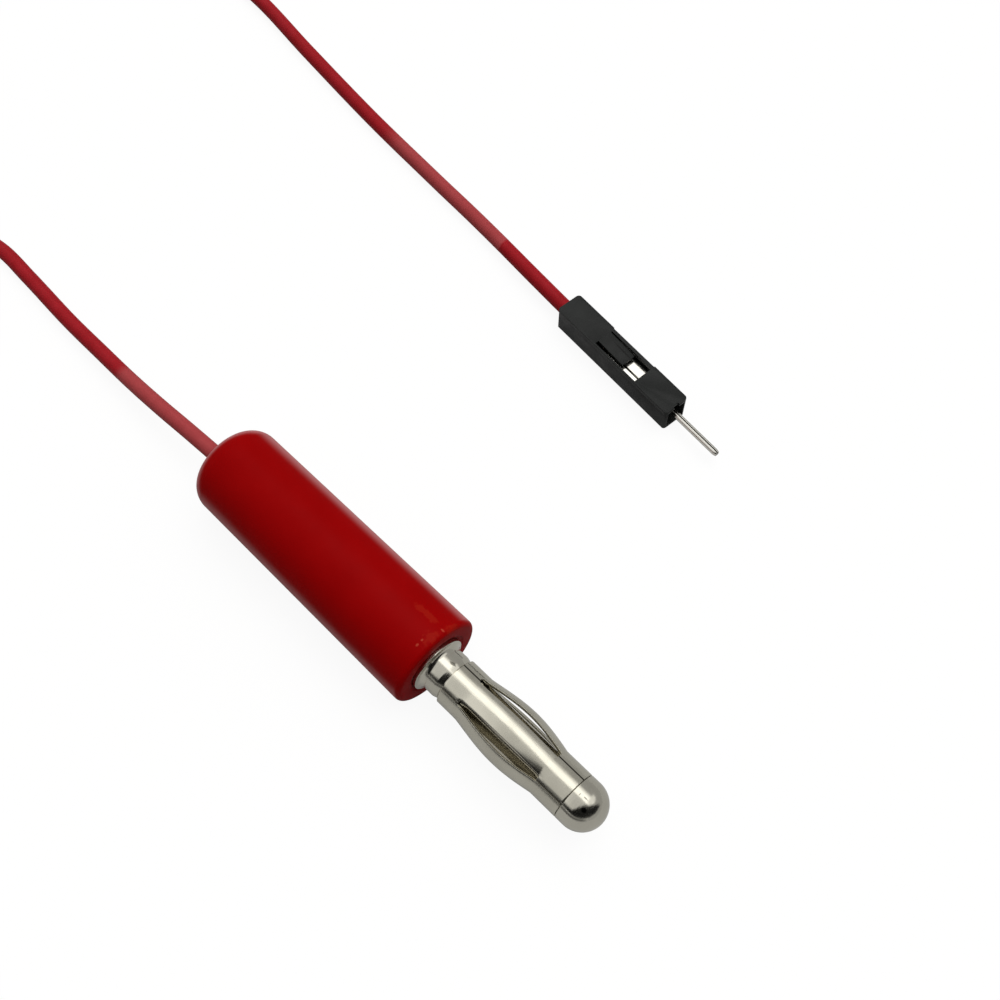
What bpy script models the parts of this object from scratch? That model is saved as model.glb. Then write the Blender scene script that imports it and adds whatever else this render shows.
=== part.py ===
"""Test lead: a 4 mm lantern plug on one end of a thin red wire, a 2.54 mm pin housing on the other.

Metres, +Z up. The plug lies on its sleeve along X with its tip towards +X, and the origin is on
the table under the middle of the plug. Every size is named below, and every piece is built from
these sizes, so a change of one size carries its neighbours with it.
"""
import math

import bmesh
import bpy
from mathutils import Vector

MM = 0.001

# Running and seating clearance between pieces that touch
CLEARANCE = 0.05 * MM

# Plug, measured from the front face of the sleeve towards the tip
SLEEVE_LENGTH = 24.875 * MM
SLEEVE_FRONT_DIAMETER = 8.0 * MM
SLEEVE_REAR_DIAMETER = 7.76 * MM
SLEEVE_REAR_ROUNDING = 1.8 * MM
SLEEVE_FRONT_ROUNDING = 0.42 * MM
SLEEVE_REAR_HOLE_DIAMETER = 3.5 * MM
SLEEVE_REAR_WALL = 3.0 * MM
SLEEVE_CAVITY_DIAMETER = 4.8 * MM
SLEEVE_MOUTH_CHAMFER = 0.35 * MM
SLEEVE_SEAT_DEPTH = 0.3 * MM

TIP_DIAMETER = 4.0 * MM
TIP_CYLINDER_LENGTH = 0.775 * MM
NECK_DIAMETER = 3.85 * MM
NECK_LENGTH = 1.225 * MM
FLANGE_DIAMETER = 4.8 * MM
FLANGE_STAND_OUT = 0.2 * MM
FLANGE_FILLET_LENGTH = 0.5 * MM
EDGE_BREAK = 0.07 * MM
WAIST_DIAMETER = 3.1 * MM
SEAT_TAPER_LENGTH = 0.5 * MM
SHANK_DIAMETER = 3.4 * MM
SHANK_LENGTH = 9.0 * MM
SOLDER_CUP_DIAMETER = 2.2 * MM
SOLDER_CUP_DEPTH = 3.5 * MM
SOLDER_FILLET_LENGTH = 0.6 * MM

# Spring cage: one rolled sheet with bowed leaves between two rings
CAGE_DIAMETER = 4.0 * MM
CAGE_SHEET = 0.2 * MM
CAGE_LEAVES = 5
CAGE_REAR_RING = 2.0 * MM
CAGE_LEAF_LENGTH = 7.775 * MM
CAGE_FRONT_RING = 2.45 * MM
CAGE_SLOT_WIDTH = 0.56 * MM
CAGE_BULGE = 0.485 * MM
CAGE_SEAM_GAP = 0.07 * MM
CAGE_CREASE_DEPTH = 0.05 * MM
CAGE_SEAM_ANGLE = math.radians(147.8)
CAGE_SEAM_SHARE = 0.5
CAGE_REAR_SLANT = 0.12 * MM
CAGE_SLANT_ANGLE = math.radians(240.0)

# Wire, its bare ends and the coil that takes up its spare length
WIRE_DIAMETER = 1.4 * MM
CONDUCTOR_DIAMETER = 0.6 * MM
CONDUCTOR_LOBES = 6
CONDUCTOR_LOBE_DEPTH = 0.05 * MM
CONDUCTOR_PITCH = 6.0 * MM
BARE_AT_PLUG = 2.0 * MM
COIL_RADIUS = 8.15 * MM
COIL_TURNS_WIDE = 4
COIL_TURNS_HIGH = 2
COIL_CENTRE_X = -79.075 * MM
COIL_CENTRE_Y = 1.0 * MM
TIE_THICKNESS = 0.35 * MM
TIE_WIDTH = 2.0 * MM
TIE_TAIL_LENGTH = 5.0 * MM
TIE_TWIST_SPREAD = 1.7
TIE_ANGLE = math.radians(100.0)

# Pin housing and its contact, measured from the rear end of the housing
HOUSING_LENGTH = 14.0 * MM
HOUSING_PITCH = 2.54 * MM
HOUSING_CAVITY_WIDTH = 1.86 * MM
HOUSING_CAVITY_HEIGHT = 1.86 * MM
HOUSING_EDGE = 0.14 * MM
HOUSING_CORNER = 0.24 * MM
HOUSING_SIDE_STEP = 0.05 * MM
HOUSING_SIDE_STEP_HEIGHT = 2.22 * MM
LATCH_START = 4.8 * MM
LATCH_LENGTH = 3.1 * MM
LATCH_WIDTH = 1.44 * MM
LATCH_NEAR_SLOT = 0.36 * MM
LATCH_FAR_SLOT = 0.14 * MM
LATCH_SINK = 0.2 * MM
WINDOW_LENGTH = 1.95 * MM
LATCH_WALL_STEP = 0.09 * MM
FRONT_NOTCH_WIDTH = 0.6 * MM
FRONT_NOTCH_DEPTH = 0.22 * MM
HOUSING_X = -12.805 * MM
HOUSING_Y = 31.89 * MM
HOUSING_TURN = math.radians(-5.3)

CONTACT_SHEET = 0.15 * MM
CONTACT_SEAM = 0.06 * MM
PIN_SIZE = 0.64 * MM
PIN_REACH = 5.1 * MM
PIN_TAPER_LENGTH = 0.45 * MM
PIN_TIP_SIZE = 0.42 * MM
INSULATION_CRIMP_START = 1.3 * MM
INSULATION_CRIMP_LENGTH = 1.6 * MM
CONDUCTOR_CRIMP_LENGTH = 1.6 * MM
CRIMP_NECK_LENGTH = 0.7 * MM
CONTACT_BOX_LENGTH = 4.4 * MM
CONTACT_BOX_WIDTH = 1.7 * MM
CONTACT_BOX_HEIGHT = 1.15 * MM
CONTACT_SEAM_OFFSET = -0.45 * MM
CONTACT_SHOULDER_LENGTH = 0.6 * MM

# Facets round each kind of piece
SLEEVE_STEPS = 40
METAL_STEPS = 40
COIL_STEPS = 40

# Places worked out from the sizes above
TIP_RADIUS = TIP_DIAMETER / 2
NECK_END = FLANGE_STAND_OUT + FLANGE_FILLET_LENGTH + NECK_LENGTH
CAGE_START = NECK_END + CLEARANCE
CAGE_LENGTH = CAGE_REAR_RING + CAGE_LEAF_LENGTH + CAGE_FRONT_RING
CAGE_END = CAGE_START + CAGE_LENGTH
TIP_START = CAGE_END + CLEARANCE
METAL_REACH = TIP_START + TIP_CYLINDER_LENGTH + TIP_RADIUS
SLEEVE_FRONT_X = (SLEEVE_LENGTH - METAL_REACH) / 2
SLEEVE_REAR_X = SLEEVE_FRONT_X - SLEEVE_LENGTH
AXIS_HEIGHT = SLEEVE_FRONT_DIAMETER / 2
SEAT_RADIUS = CAGE_DIAMETER / 2 - CAGE_SHEET - CAGE_CREASE_DEPTH - CLEARANCE
SHANK_RADIUS = SHANK_DIAMETER / 2
WIRE_START_X = SLEEVE_FRONT_X - SHANK_LENGTH - BARE_AT_PLUG
WIRE_RADIUS = WIRE_DIAMETER / 2
EXIT_HEIGHT = AXIS_HEIGHT - SLEEVE_REAR_HOLE_DIAMETER / 2 + WIRE_RADIUS + CLEARANCE
COIL_LIFT = TIE_THICKNESS + CLEARANCE
COIL_HALF_WIDTH = COIL_TURNS_WIDE * WIRE_RADIUS
COIL_HEIGHT = COIL_TURNS_HIGH * WIRE_DIAMETER
COIL_OUTER_STRAND = COIL_RADIUS + COIL_HALF_WIDTH - WIRE_RADIUS
HOUSING_AXIS_HEIGHT = HOUSING_PITCH / 2
CONDUCTOR_CRIMP_START = INSULATION_CRIMP_START + INSULATION_CRIMP_LENGTH + CRIMP_NECK_LENGTH
CONDUCTOR_CRIMP_END = CONDUCTOR_CRIMP_START + CONDUCTOR_CRIMP_LENGTH
CONTACT_BOX_START = CONDUCTOR_CRIMP_END + CRIMP_NECK_LENGTH
CONTACT_BOX_END = CONTACT_BOX_START + CONTACT_BOX_LENGTH
WIRE_END_IN_HOUSING = INSULATION_CRIMP_START + INSULATION_CRIMP_LENGTH


def housing_point(along, height):
    """A point on the housing's middle plane, at a distance along it from its rear end."""
    return (HOUSING_X + along * math.cos(HOUSING_TURN),
            HOUSING_Y + along * math.sin(HOUSING_TURN),
            height)


def points_from(anchor_x, anchor_y, top, offsets):
    """Route points in mm from an anchor; the third number is the share of the height to the top."""
    return [(anchor_x + x * MM, anchor_y + y * MM, WIRE_RADIUS + share * (top - WIRE_RADIUS))
            for x, y, share in offsets]


# Route of the wire from the solder cup out of the sleeve and along the table to the coil
PLUG_LEAD_ROUTE = [
    (WIRE_START_X, 0.0, AXIS_HEIGHT),
    (SLEEVE_REAR_X + 9.0 * MM, 0.0, AXIS_HEIGHT - 0.15 * MM),
    (SLEEVE_REAR_X + SLEEVE_REAR_WALL, 0.0, EXIT_HEIGHT + 0.04 * MM),
    (SLEEVE_REAR_X, 0.0, EXIT_HEIGHT),
]
PLUG_LEAD_ROUTE += points_from(SLEEVE_REAR_X, 0.0, EXIT_HEIGHT, [
    (-4.75, -0.18, 0.913),
    (-8.65, -0.33, 0.76),
    (-12.95, -0.36, 0.52),
    (-17.35, -0.26, 0.283),
    (-22.45, -0.16, 0.109),
    (-29.15, 0.16, 0.013),
    (-33.65, 0.2, 0.0),
])
COIL_TOP_STRAND = COIL_LIFT + COIL_HEIGHT - WIRE_RADIUS
PLUG_LEAD_ROUTE += points_from(COIL_CENTRE_X, COIL_CENTRE_Y - COIL_OUTER_STRAND, COIL_TOP_STRAND, [
    (18.5, 8.05, 0.0),
    (12.5, 4.25, 0.0),
    (7.0, 0.95, 0.28),
    (0.0, 0.0, 1.0),
])

# Route of the wire from the crimp out of the housing and along the table to the coil
PIN_LEAD_ROUTE = [
    housing_point(WIRE_END_IN_HOUSING, HOUSING_AXIS_HEIGHT),
    housing_point(0.0, HOUSING_AXIS_HEIGHT),
]
PIN_LEAD_ROUTE += points_from(HOUSING_X, HOUSING_Y, HOUSING_AXIS_HEIGHT, [
    (-4.87, 0.57, 0.84),
    (-9.67, 1.25, 0.386),
    (-13.97, 1.77, 0.105),
    (-19.47, 2.27, 0.0),
    (-29.37, 3.22, 0.0),
    (-40.57, 4.67, 0.0),
    (-49.77, 5.97, 0.0),
])
COIL_BOTTOM_STRAND = COIL_LIFT + WIRE_RADIUS
PIN_LEAD_ROUTE += points_from(COIL_CENTRE_X - COIL_OUTER_STRAND, COIL_CENTRE_Y, COIL_BOTTOM_STRAND, [
    (19.75, 36.9, 0.0),
    (12.75, 34.6, 0.0),
    (6.25, 29.6, 0.0),
    (2.05, 22.6, 0.0),
    (0.25, 15.0, 0.0),
    (0.0, 7.5, 0.25),
    (0.0, 0.0, 1.0),
])
ROUTE_STEP = 2.5 * WIRE_DIAMETER


# Scene, collections and materials
def clear_scene():
    for old in list(bpy.data.objects):
        bpy.data.objects.remove(old, do_unlink=True)


def new_collection(name):
    collection = bpy.data.collections.new(name)
    bpy.context.scene.collection.children.link(collection)
    return collection


def material(name, colour, roughness, metallic):
    finish = bpy.data.materials.new(name)
    finish.use_nodes = True
    shader = finish.node_tree.nodes["Principled BSDF"]
    shader.inputs["Base Color"].default_value = (*colour, 1.0)
    shader.inputs["Roughness"].default_value = roughness
    shader.inputs["Metallic"].default_value = metallic
    return finish


def add_object(name, mesh, finish, parent=None):
    made = bpy.data.objects.new(name, mesh)
    made.parent = parent
    PARTS.objects.link(made)
    if finish is not None:
        mesh.materials.clear()
        mesh.materials.append(finish)
    return made


def mesh_from(bm, name):
    mesh = bpy.data.meshes.new(name)
    bm.to_mesh(mesh)
    bm.free()
    return mesh


def smooth(made, angle=35.0):
    made.data.shade_smooth()
    made.data.set_sharp_from_angle(angle=math.radians(angle))


# Shapes that more than one piece uses
def arc(centre_r, centre_z, radius, start_deg, end_deg, count):
    """Points of an arc in a turned profile, each (distance from the axis, place along it)."""
    points = []
    for index in range(count + 1):
        angle = math.radians(start_deg + (end_deg - start_deg) * index / count)
        points.append((centre_r + radius * math.cos(angle), centre_z + radius * math.sin(angle)))
    return points


def turned(name, profile, closed, steps, finish, parent):
    """A turned piece: a profile that runs down its outer side, swept round the local Z axis."""
    bm = bmesh.new()
    ring = [bm.verts.new((radius, 0.0, along)) for radius, along in profile]
    for first, second in zip(ring, ring[1:]):
        bm.edges.new((first, second))
    if closed:
        bm.edges.new((ring[-1], ring[0]))
    made = add_object(name, mesh_from(bm, name), finish, parent)
    sweep = made.modifiers.new("Turned", "SCREW")
    sweep.axis = "Z"
    sweep.angle = 2 * math.pi
    sweep.steps = steps
    sweep.render_steps = steps
    sweep.use_merge_vertices = True
    sweep.merge_threshold = 0.000001
    sweep.use_smooth_shade = True
    return made


def box_mesh(name, low, high):
    """A box between two corners, as a mesh."""
    bm = bmesh.new()
    bmesh.ops.create_cube(bm, size=1.0)
    size = Vector(high) - Vector(low)
    middle = (Vector(high) + Vector(low)) / 2
    bmesh.ops.scale(bm, vec=size, verts=bm.verts)
    bmesh.ops.translate(bm, vec=middle, verts=bm.verts)
    return mesh_from(bm, name)


def boolean(made, cutter, operation="DIFFERENCE"):
    cut = made.modifiers.new(cutter.name, "BOOLEAN")
    cut.operation = operation
    cut.object = cutter
    cut.solver = "EXACT"


def cutter_object(name, mesh, parent):
    made = bpy.data.objects.new(name, mesh)
    made.parent = parent
    CUTTERS.objects.link(made)
    made.hide_render = True
    made.display_type = "WIRE"
    return made


def sheet_grid(rows, columns):
    """A flat grid of faces whose vertices are listed by row and column."""
    bm = bmesh.new()
    bmesh.ops.create_grid(bm, x_segments=columns - 1, y_segments=rows - 1, size=1.0)
    order = sorted(bm.verts, key=lambda vert: (round(vert.co.y, 5), round(vert.co.x, 5)))
    return bm, [order[row * columns:(row + 1) * columns] for row in range(rows)]


def smooth_path(route, step):
    """Points at an even step along a smooth curve through the route's own points."""
    points = [Vector(point) for point in route]
    ends = [2 * points[0] - points[1]] + points + [2 * points[-1] - points[-2]]
    fine = []
    for before, start, end, after in zip(ends, ends[1:], ends[2:], ends[3:]):
        span = (end - start).length
        leave = (end - before) * span / ((end - start).length + (start - before).length)
        arrive = (after - start) * span / ((after - end).length + (end - start).length)
        for index in range(24):
            t = index / 24
            fine.append((2 * t ** 3 - 3 * t ** 2 + 1) * start + (t ** 3 - 2 * t ** 2 + t) * leave
                        + (-2 * t ** 3 + 3 * t ** 2) * end + (t ** 3 - t ** 2) * arrive)
    fine.append(points[-1])
    lengths = [0.0]
    for first, second in zip(fine, fine[1:]):
        lengths.append(lengths[-1] + (second - first).length)
    count = max(2, round(lengths[-1] / step))
    path = []
    place = 0
    for index in range(count + 1):
        wanted = lengths[-1] * index / count
        while place < len(lengths) - 2 and lengths[place + 1] < wanted:
            place += 1
        share = (wanted - lengths[place]) / (lengths[place + 1] - lengths[place])
        path.append(fine[place].lerp(fine[place + 1], share))
    return path


def wire_tube(name, path, finish):
    curve = bpy.data.curves.new(name, "CURVE")
    curve.dimensions = "3D"
    curve.bevel_depth = WIRE_RADIUS
    curve.bevel_resolution = 2
    curve.use_fill_caps = True
    spline = curve.splines.new("POLY")
    spline.points.add(len(path) - 1)
    for point, place in zip(spline.points, path):
        point.co = (*place, 1.0)
    made = bpy.data.objects.new(name, curve)
    PARTS.objects.link(made)
    curve.materials.append(finish)
    return made


# Plug pieces, built round the local Z axis that the plug axis turns into +X
def sleeve(axis, finish):
    front = SLEEVE_FRONT_X
    rear = SLEEVE_REAR_X
    front_r = SLEEVE_FRONT_DIAMETER / 2
    rear_r = SLEEVE_REAR_DIAMETER / 2
    bore_r = SHANK_RADIUS + CLEARANCE
    seat_r = FLANGE_DIAMETER / 2 + CLEARANCE
    hole_r = SLEEVE_REAR_HOLE_DIAMETER / 2
    cavity_r = SLEEVE_CAVITY_DIAMETER / 2
    cavity_end = front - SHANK_LENGTH
    cavity_start = rear + SLEEVE_REAR_WALL
    profile = [(seat_r + SLEEVE_MOUTH_CHAMFER, front)]
    profile += arc(front_r - SLEEVE_FRONT_ROUNDING, front - SLEEVE_FRONT_ROUNDING,
                   SLEEVE_FRONT_ROUNDING, 90, 0, 3)
    profile += arc(rear_r - SLEEVE_REAR_ROUNDING, rear + SLEEVE_REAR_ROUNDING,
                   SLEEVE_REAR_ROUNDING, 0, -90, 8)
    profile += [(hole_r, rear),
                (hole_r, cavity_start),
                (cavity_r, cavity_start + (cavity_r - hole_r)),
                (cavity_r, cavity_end),
                (bore_r, cavity_end + (cavity_r - bore_r)),
                (bore_r, front - SLEEVE_SEAT_DEPTH),
                (seat_r, front - SLEEVE_SEAT_DEPTH),
                (seat_r, front - SLEEVE_SEAT_DEPTH / 2)]
    return turned("plug_sleeve", profile, True, SLEEVE_STEPS, finish, axis)


def plug_body(axis, finish):
    front = SLEEVE_FRONT_X
    neck_r = NECK_DIAMETER / 2
    flange_r = FLANGE_DIAMETER / 2
    waist_r = WAIST_DIAMETER / 2
    cup_r = SOLDER_CUP_DIAMETER / 2
    rear_seat_end = front + CAGE_START + CAGE_REAR_RING - CLEARANCE
    front_seat_start = front + CAGE_END - CAGE_FRONT_RING + CLEARANCE
    tip_start = front + TIP_START
    fillet_end = front + FLANGE_STAND_OUT + FLANGE_FILLET_LENGTH
    flange_rear = front - SLEEVE_SEAT_DEPTH + CLEARANCE
    profile = arc(0.0, tip_start + TIP_CYLINDER_LENGTH, TIP_RADIUS, 90, 0, 10)
    profile[0] = (0.0, profile[0][1])
    profile += [(TIP_RADIUS, tip_start + EDGE_BREAK),
                (TIP_RADIUS - EDGE_BREAK, tip_start),
                (SEAT_RADIUS, tip_start),
                (SEAT_RADIUS, front_seat_start),
                (waist_r, front_seat_start - SEAT_TAPER_LENGTH),
                (waist_r, rear_seat_end + SEAT_TAPER_LENGTH),
                (SEAT_RADIUS, rear_seat_end),
                (SEAT_RADIUS, front + NECK_END),
                (neck_r - EDGE_BREAK, front + NECK_END),
                (neck_r, front + NECK_END - EDGE_BREAK)]
    for index in range(7):
        turn = math.radians(90 * index / 6)
        profile.append((flange_r - (flange_r - neck_r) * math.cos(turn),
                        fillet_end - FLANGE_FILLET_LENGTH * math.sin(turn)))
    profile += [(flange_r, flange_rear),
                (SHANK_RADIUS, flange_rear),
                (SHANK_RADIUS, front - SHANK_LENGTH),
                (cup_r, front - SHANK_LENGTH),
                (cup_r, front - SHANK_LENGTH + SOLDER_CUP_DEPTH),
                (0.0, front - SHANK_LENGTH + SOLDER_CUP_DEPTH)]
    return turned("plug_body", profile, False, METAL_STEPS, finish, axis)


def cage_radius_shift(along):
    """How far a leaf stands out at a place along the cage: nought at both rings."""
    share = (along - CAGE_REAR_RING) / CAGE_LEAF_LENGTH
    if share <= 0.0 or share >= 1.0:
        return 0.0
    return CAGE_BULGE * math.sin(math.pi * share) ** 1.35


def cage_point(along, angle, leaf_angle, shift, crease):
    """A point on the cage's outer face: a leaf bows out whole, so it keeps its own curve."""
    radius = CAGE_DIAMETER / 2 - crease
    x = radius * math.cos(angle) + shift * math.cos(leaf_angle)
    y = radius * math.sin(angle) + shift * math.sin(leaf_angle)
    return x, y, SLEEVE_FRONT_X + CAGE_START + along


def spring_cage(axis, finish):
    """One flat blank, slotted, then rolled: its two ends meet at the seam beside one slot."""
    outer_r = CAGE_DIAMETER / 2
    pitch = 2 * math.pi / CAGE_LEAVES
    half_slot = CAGE_SLOT_WIDTH / 2 / outer_r
    half_seam = CAGE_SEAM_GAP / 2 / outer_r / half_slot
    leaf_columns = 7
    slot_shares = (-1.0, -0.5, 0.0, CAGE_SEAM_SHARE, 1.0)
    seam_shares = (-1.0, -0.5, 0.0, CAGE_SEAM_SHARE - half_seam)
    rows = [0.0, 0.06, 0.5, 0.9, 1.0]
    rows = [row * CAGE_REAR_RING for row in rows]
    leaf_rows = 14
    for index in range(1, leaf_rows):
        rows.append(CAGE_REAR_RING + CAGE_LEAF_LENGTH * index / leaf_rows)
    first_front_row = len(rows)
    for share in (0.0, 0.1, 0.5, 0.94, 1.0):
        rows.append(CAGE_REAR_RING + CAGE_LEAF_LENGTH + share * CAGE_FRONT_RING)
    last_rear_row = 4

    # Each column is (angle, leaf or slot number, place across a slot or None)
    columns = [(CAGE_SEAM_ANGLE + share * half_slot, 0, share)
               for share in (CAGE_SEAM_SHARE + half_seam, 1.0)]
    for leaf in range(CAGE_LEAVES):
        start = CAGE_SEAM_ANGLE + leaf * pitch + half_slot
        end = CAGE_SEAM_ANGLE + (leaf + 1) * pitch - half_slot
        for index in range(1, leaf_columns):
            columns.append((start + (end - start) * index / leaf_columns, leaf, None))
        for share in slot_shares if leaf < CAGE_LEAVES - 1 else seam_shares:
            columns.append((end + half_slot + share * half_slot, leaf + 1, share))

    bm, grid = sheet_grid(len(rows), len(columns))
    in_slot = []
    for row, along in enumerate(rows):
        in_ring = row <= last_rear_row or row >= first_front_row
        for column, (angle, leaf, share) in enumerate(columns):
            owner = leaf if share is None or share > 0.0 else leaf - 1
            leaf_angle = CAGE_SEAM_ANGLE + (owner + 0.5) * pitch
            place = along
            crease = 0.0
            if row < 2:
                place += CAGE_REAR_SLANT * (1.0 + math.cos(angle - CAGE_SLANT_ANGLE)) / 2
            if share is not None and abs(share) < 1.0:
                if row in (last_rear_row - 1, last_rear_row):
                    place -= math.sqrt(1.0 - share ** 2) * CAGE_SLOT_WIDTH / 2
                if share == CAGE_SEAM_SHARE:
                    crease = CAGE_CREASE_DEPTH
            shift = 0.0 if in_ring else cage_radius_shift(along)
            grid[row][column].co = cage_point(place, angle, leaf_angle, shift, crease)
    for row in range(last_rear_row, first_front_row):
        for column in range(len(columns) - 1):
            start = columns[column]
            end = columns[column + 1]
            if start[2] is not None and end[2] is not None and end[2] > start[2]:
                corners = {grid[row][column], grid[row][column + 1],
                           grid[row + 1][column], grid[row + 1][column + 1]}
                in_slot += [face for face in grid[row][column].link_faces
                            if set(face.verts) == corners]
    bmesh.ops.delete(bm, geom=in_slot, context="FACES")
    bmesh.ops.recalc_face_normals(bm, faces=bm.faces)
    middle = grid[0][3]
    if middle.link_faces[0].normal.dot(Vector((middle.co.x, middle.co.y, 0.0))) < 0.0:
        bmesh.ops.reverse_faces(bm, faces=bm.faces)
    made = add_object("spring_cage", mesh_from(bm, "spring_cage"), finish, axis)
    wall = made.modifiers.new("Sheet", "SOLIDIFY")
    wall.thickness = CAGE_SHEET
    wall.offset = -1.0
    wall.use_even_offset = True
    smooth(made)
    return made


def solder_fillet(axis, finish):
    rear = SLEEVE_FRONT_X - SHANK_LENGTH
    inner_r = CONDUCTOR_DIAMETER / 2 + CLEARANCE
    outer_r = SOLDER_CUP_DIAMETER / 2 - CLEARANCE
    deep = rear + SOLDER_CUP_DEPTH - CLEARANCE
    profile = [(inner_r, deep), (outer_r, deep), (outer_r, rear)]
    for index in range(1, 5):
        turn = math.radians(90 * index / 4)
        profile.append((outer_r - (outer_r - inner_r - 0.02 * MM) * math.sin(turn),
                        rear - SOLDER_FILLET_LENGTH * (1.0 - math.cos(turn))))
    profile.append((inner_r, rear - SOLDER_FILLET_LENGTH))
    return turned("solder_fillet", profile, True, 24, finish, axis)


def strand_bundle(name, length, finish, parent):
    """The bare end of the wire: twisted strands, read as one lobed and twisted rod."""
    per_lobe = 3
    sides = CONDUCTOR_LOBES * per_lobe
    rows = max(3, round(length / (0.6 * MM)))
    outer_r = CONDUCTOR_DIAMETER / 2
    bm = bmesh.new()
    rings = []
    for row in range(rows + 1):
        along = length * row / rows
        twist = 2 * math.pi * along / CONDUCTOR_PITCH
        ring = []
        for side in range(sides):
            radius = outer_r if side % per_lobe else outer_r - CONDUCTOR_LOBE_DEPTH
            angle = 2 * math.pi * side / sides + twist
            ring.append(bm.verts.new((radius * math.cos(angle), radius * math.sin(angle), along)))
        rings.append(ring)
    for low, high in zip(rings, rings[1:]):
        low_edges = [bm.edges.get(pair) or bm.edges.new(pair) for pair in zip(low, low[1:] + low[:1])]
        high_edges = [bm.edges.get(pair) or bm.edges.new(pair)
                      for pair in zip(high, high[1:] + high[:1])]
        bmesh.ops.bridge_loops(bm, edges=low_edges + high_edges)
    bm.faces.new(reversed(rings[0]))
    bm.faces.new(rings[-1])
    bmesh.ops.recalc_face_normals(bm, faces=bm.faces)
    made = add_object(name, mesh_from(bm, name), finish, parent)
    smooth(made, 50.0)
    return made


# Wire, coil and tie
def path_to_coil(route):
    """The smooth path of one lead, ended where its side comes up against the coil."""
    fine = smooth_path(route, WIRE_RADIUS / 4)
    reach = COIL_RADIUS + COIL_HALF_WIDTH + WIRE_RADIUS + 2 * CLEARANCE
    centre = Vector((COIL_CENTRE_X, COIL_CENTRE_Y))
    clear = []
    for point in fine:
        if (point.to_2d() - centre).length < reach:
            break
        clear.append(Vector((point.x, point.y, max(point.z, WIRE_RADIUS))))
    count = max(2, round(len(clear) * WIRE_RADIUS / 4 / ROUTE_STEP))
    return [clear[round(index * (len(clear) - 1) / count)] for index in range(count + 1)]


def wire_coil(finish):
    """The coiled turns as one ring: four strands wide and two high, with rounded corners."""
    inner = COIL_RADIUS - COIL_HALF_WIDTH + WIRE_RADIUS
    outer = COIL_RADIUS + COIL_HALF_WIDTH - WIRE_RADIUS
    low = COIL_LIFT + WIRE_RADIUS
    high = COIL_LIFT + COIL_HEIGHT - WIRE_RADIUS
    profile = arc(outer, high, WIRE_RADIUS, 90, 0, 3) + arc(outer, low, WIRE_RADIUS, 0, -90, 3)
    profile += arc(inner, low, WIRE_RADIUS, -90, -180, 3) + arc(inner, high, WIRE_RADIUS, 180, 90, 3)
    made = turned("wire_coil", profile, True, COIL_STEPS, finish, None)
    made.location = (COIL_CENTRE_X, COIL_CENTRE_Y, 0.0)
    return made


def coil_tie(finish):
    """A flat strip round the bundle, with its two ends twisted together on top."""
    inner_r = COIL_RADIUS - COIL_HALF_WIDTH
    sagitta = inner_r - math.sqrt(inner_r ** 2 - (TIE_WIDTH / 2) ** 2)
    corner = WIRE_RADIUS + CLEARANCE
    right = COIL_HALF_WIDTH + CLEARANCE - corner
    left = corner - COIL_HALF_WIDTH - CLEARANCE - sagitta
    low = COIL_LIFT - CLEARANCE + corner
    high = COIL_LIFT + COIL_HEIGHT + CLEARANCE - corner
    path = arc(right, high, corner, 90, 0, 4) + arc(right, low, corner, 0, -90, 4)
    path += arc(left, low, corner, -90, -180, 4) + arc(left, high, corner, 180, 90, 4)
    bm = bmesh.new()
    rails = []
    for side in (-0.5, 0.5):
        rails.append([bm.verts.new((r, side * TIE_WIDTH, z)) for r, z in path])
    for index in range(len(path)):
        after = (index + 1) % len(path)
        bm.faces.new((rails[0][index], rails[0][after], rails[1][after], rails[1][index]))
    bmesh.ops.recalc_face_normals(bm, faces=bm.faces)
    top = bm.faces[len(path) - 1]
    if top.normal.z < 0.0:
        bmesh.ops.reverse_faces(bm, faces=bm.faces)
    frame = bpy.data.objects.new("tie_place", None)
    PARTS.objects.link(frame)
    frame.rotation_euler = (0.0, 0.0, TIE_ANGLE)
    frame.location = (COIL_CENTRE_X + COIL_RADIUS * math.cos(TIE_ANGLE),
                      COIL_CENTRE_Y + COIL_RADIUS * math.sin(TIE_ANGLE), 0.0)
    made = add_object("coil_tie", mesh_from(bm, "coil_tie"), finish, frame)
    wall = made.modifiers.new("Strip", "SOLIDIFY")
    wall.thickness = TIE_THICKNESS
    wall.offset = 1.0
    wall.use_even_offset = True
    tail = cutter_object("tie_tail", tail_mesh(high + corner + TIE_THICKNESS), frame)
    boolean(made, tail, "UNION")
    return made


def tail_mesh(base):
    """The two ends of the strip, twisted together and laid down beside the strip."""
    turns = 1.25
    rows = 24
    bm = bmesh.new()
    rings = []
    for row in range(rows + 1):
        share = row / rows
        twist = 2 * math.pi * turns * share
        ring = []
        for side in range(8):
            angle = 2 * math.pi * (side + 0.5) / 8
            across = 1.05 * TIE_THICKNESS * TIE_TWIST_SPREAD * math.cos(angle)
            up = 0.95 * TIE_THICKNESS * math.sin(angle)
            x = across * math.cos(twist) - up * math.sin(twist)
            z = across * math.sin(twist) + up * math.cos(twist)
            along = (share - 0.12) * TIE_TAIL_LENGTH
            ring.append(bm.verts.new((x, along, base + 0.8 * TIE_THICKNESS + z)))
        rings.append(ring)
    for low, high in zip(rings, rings[1:]):
        for index in range(8):
            after = (index + 1) % 8
            bm.faces.new((low[index], low[after], high[after], high[index]))
    bm.faces.new(reversed(rings[0]))
    bm.faces.new(rings[-1])
    bmesh.ops.recalc_face_normals(bm, faces=bm.faces)
    return mesh_from(bm, "tie_tail")


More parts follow.
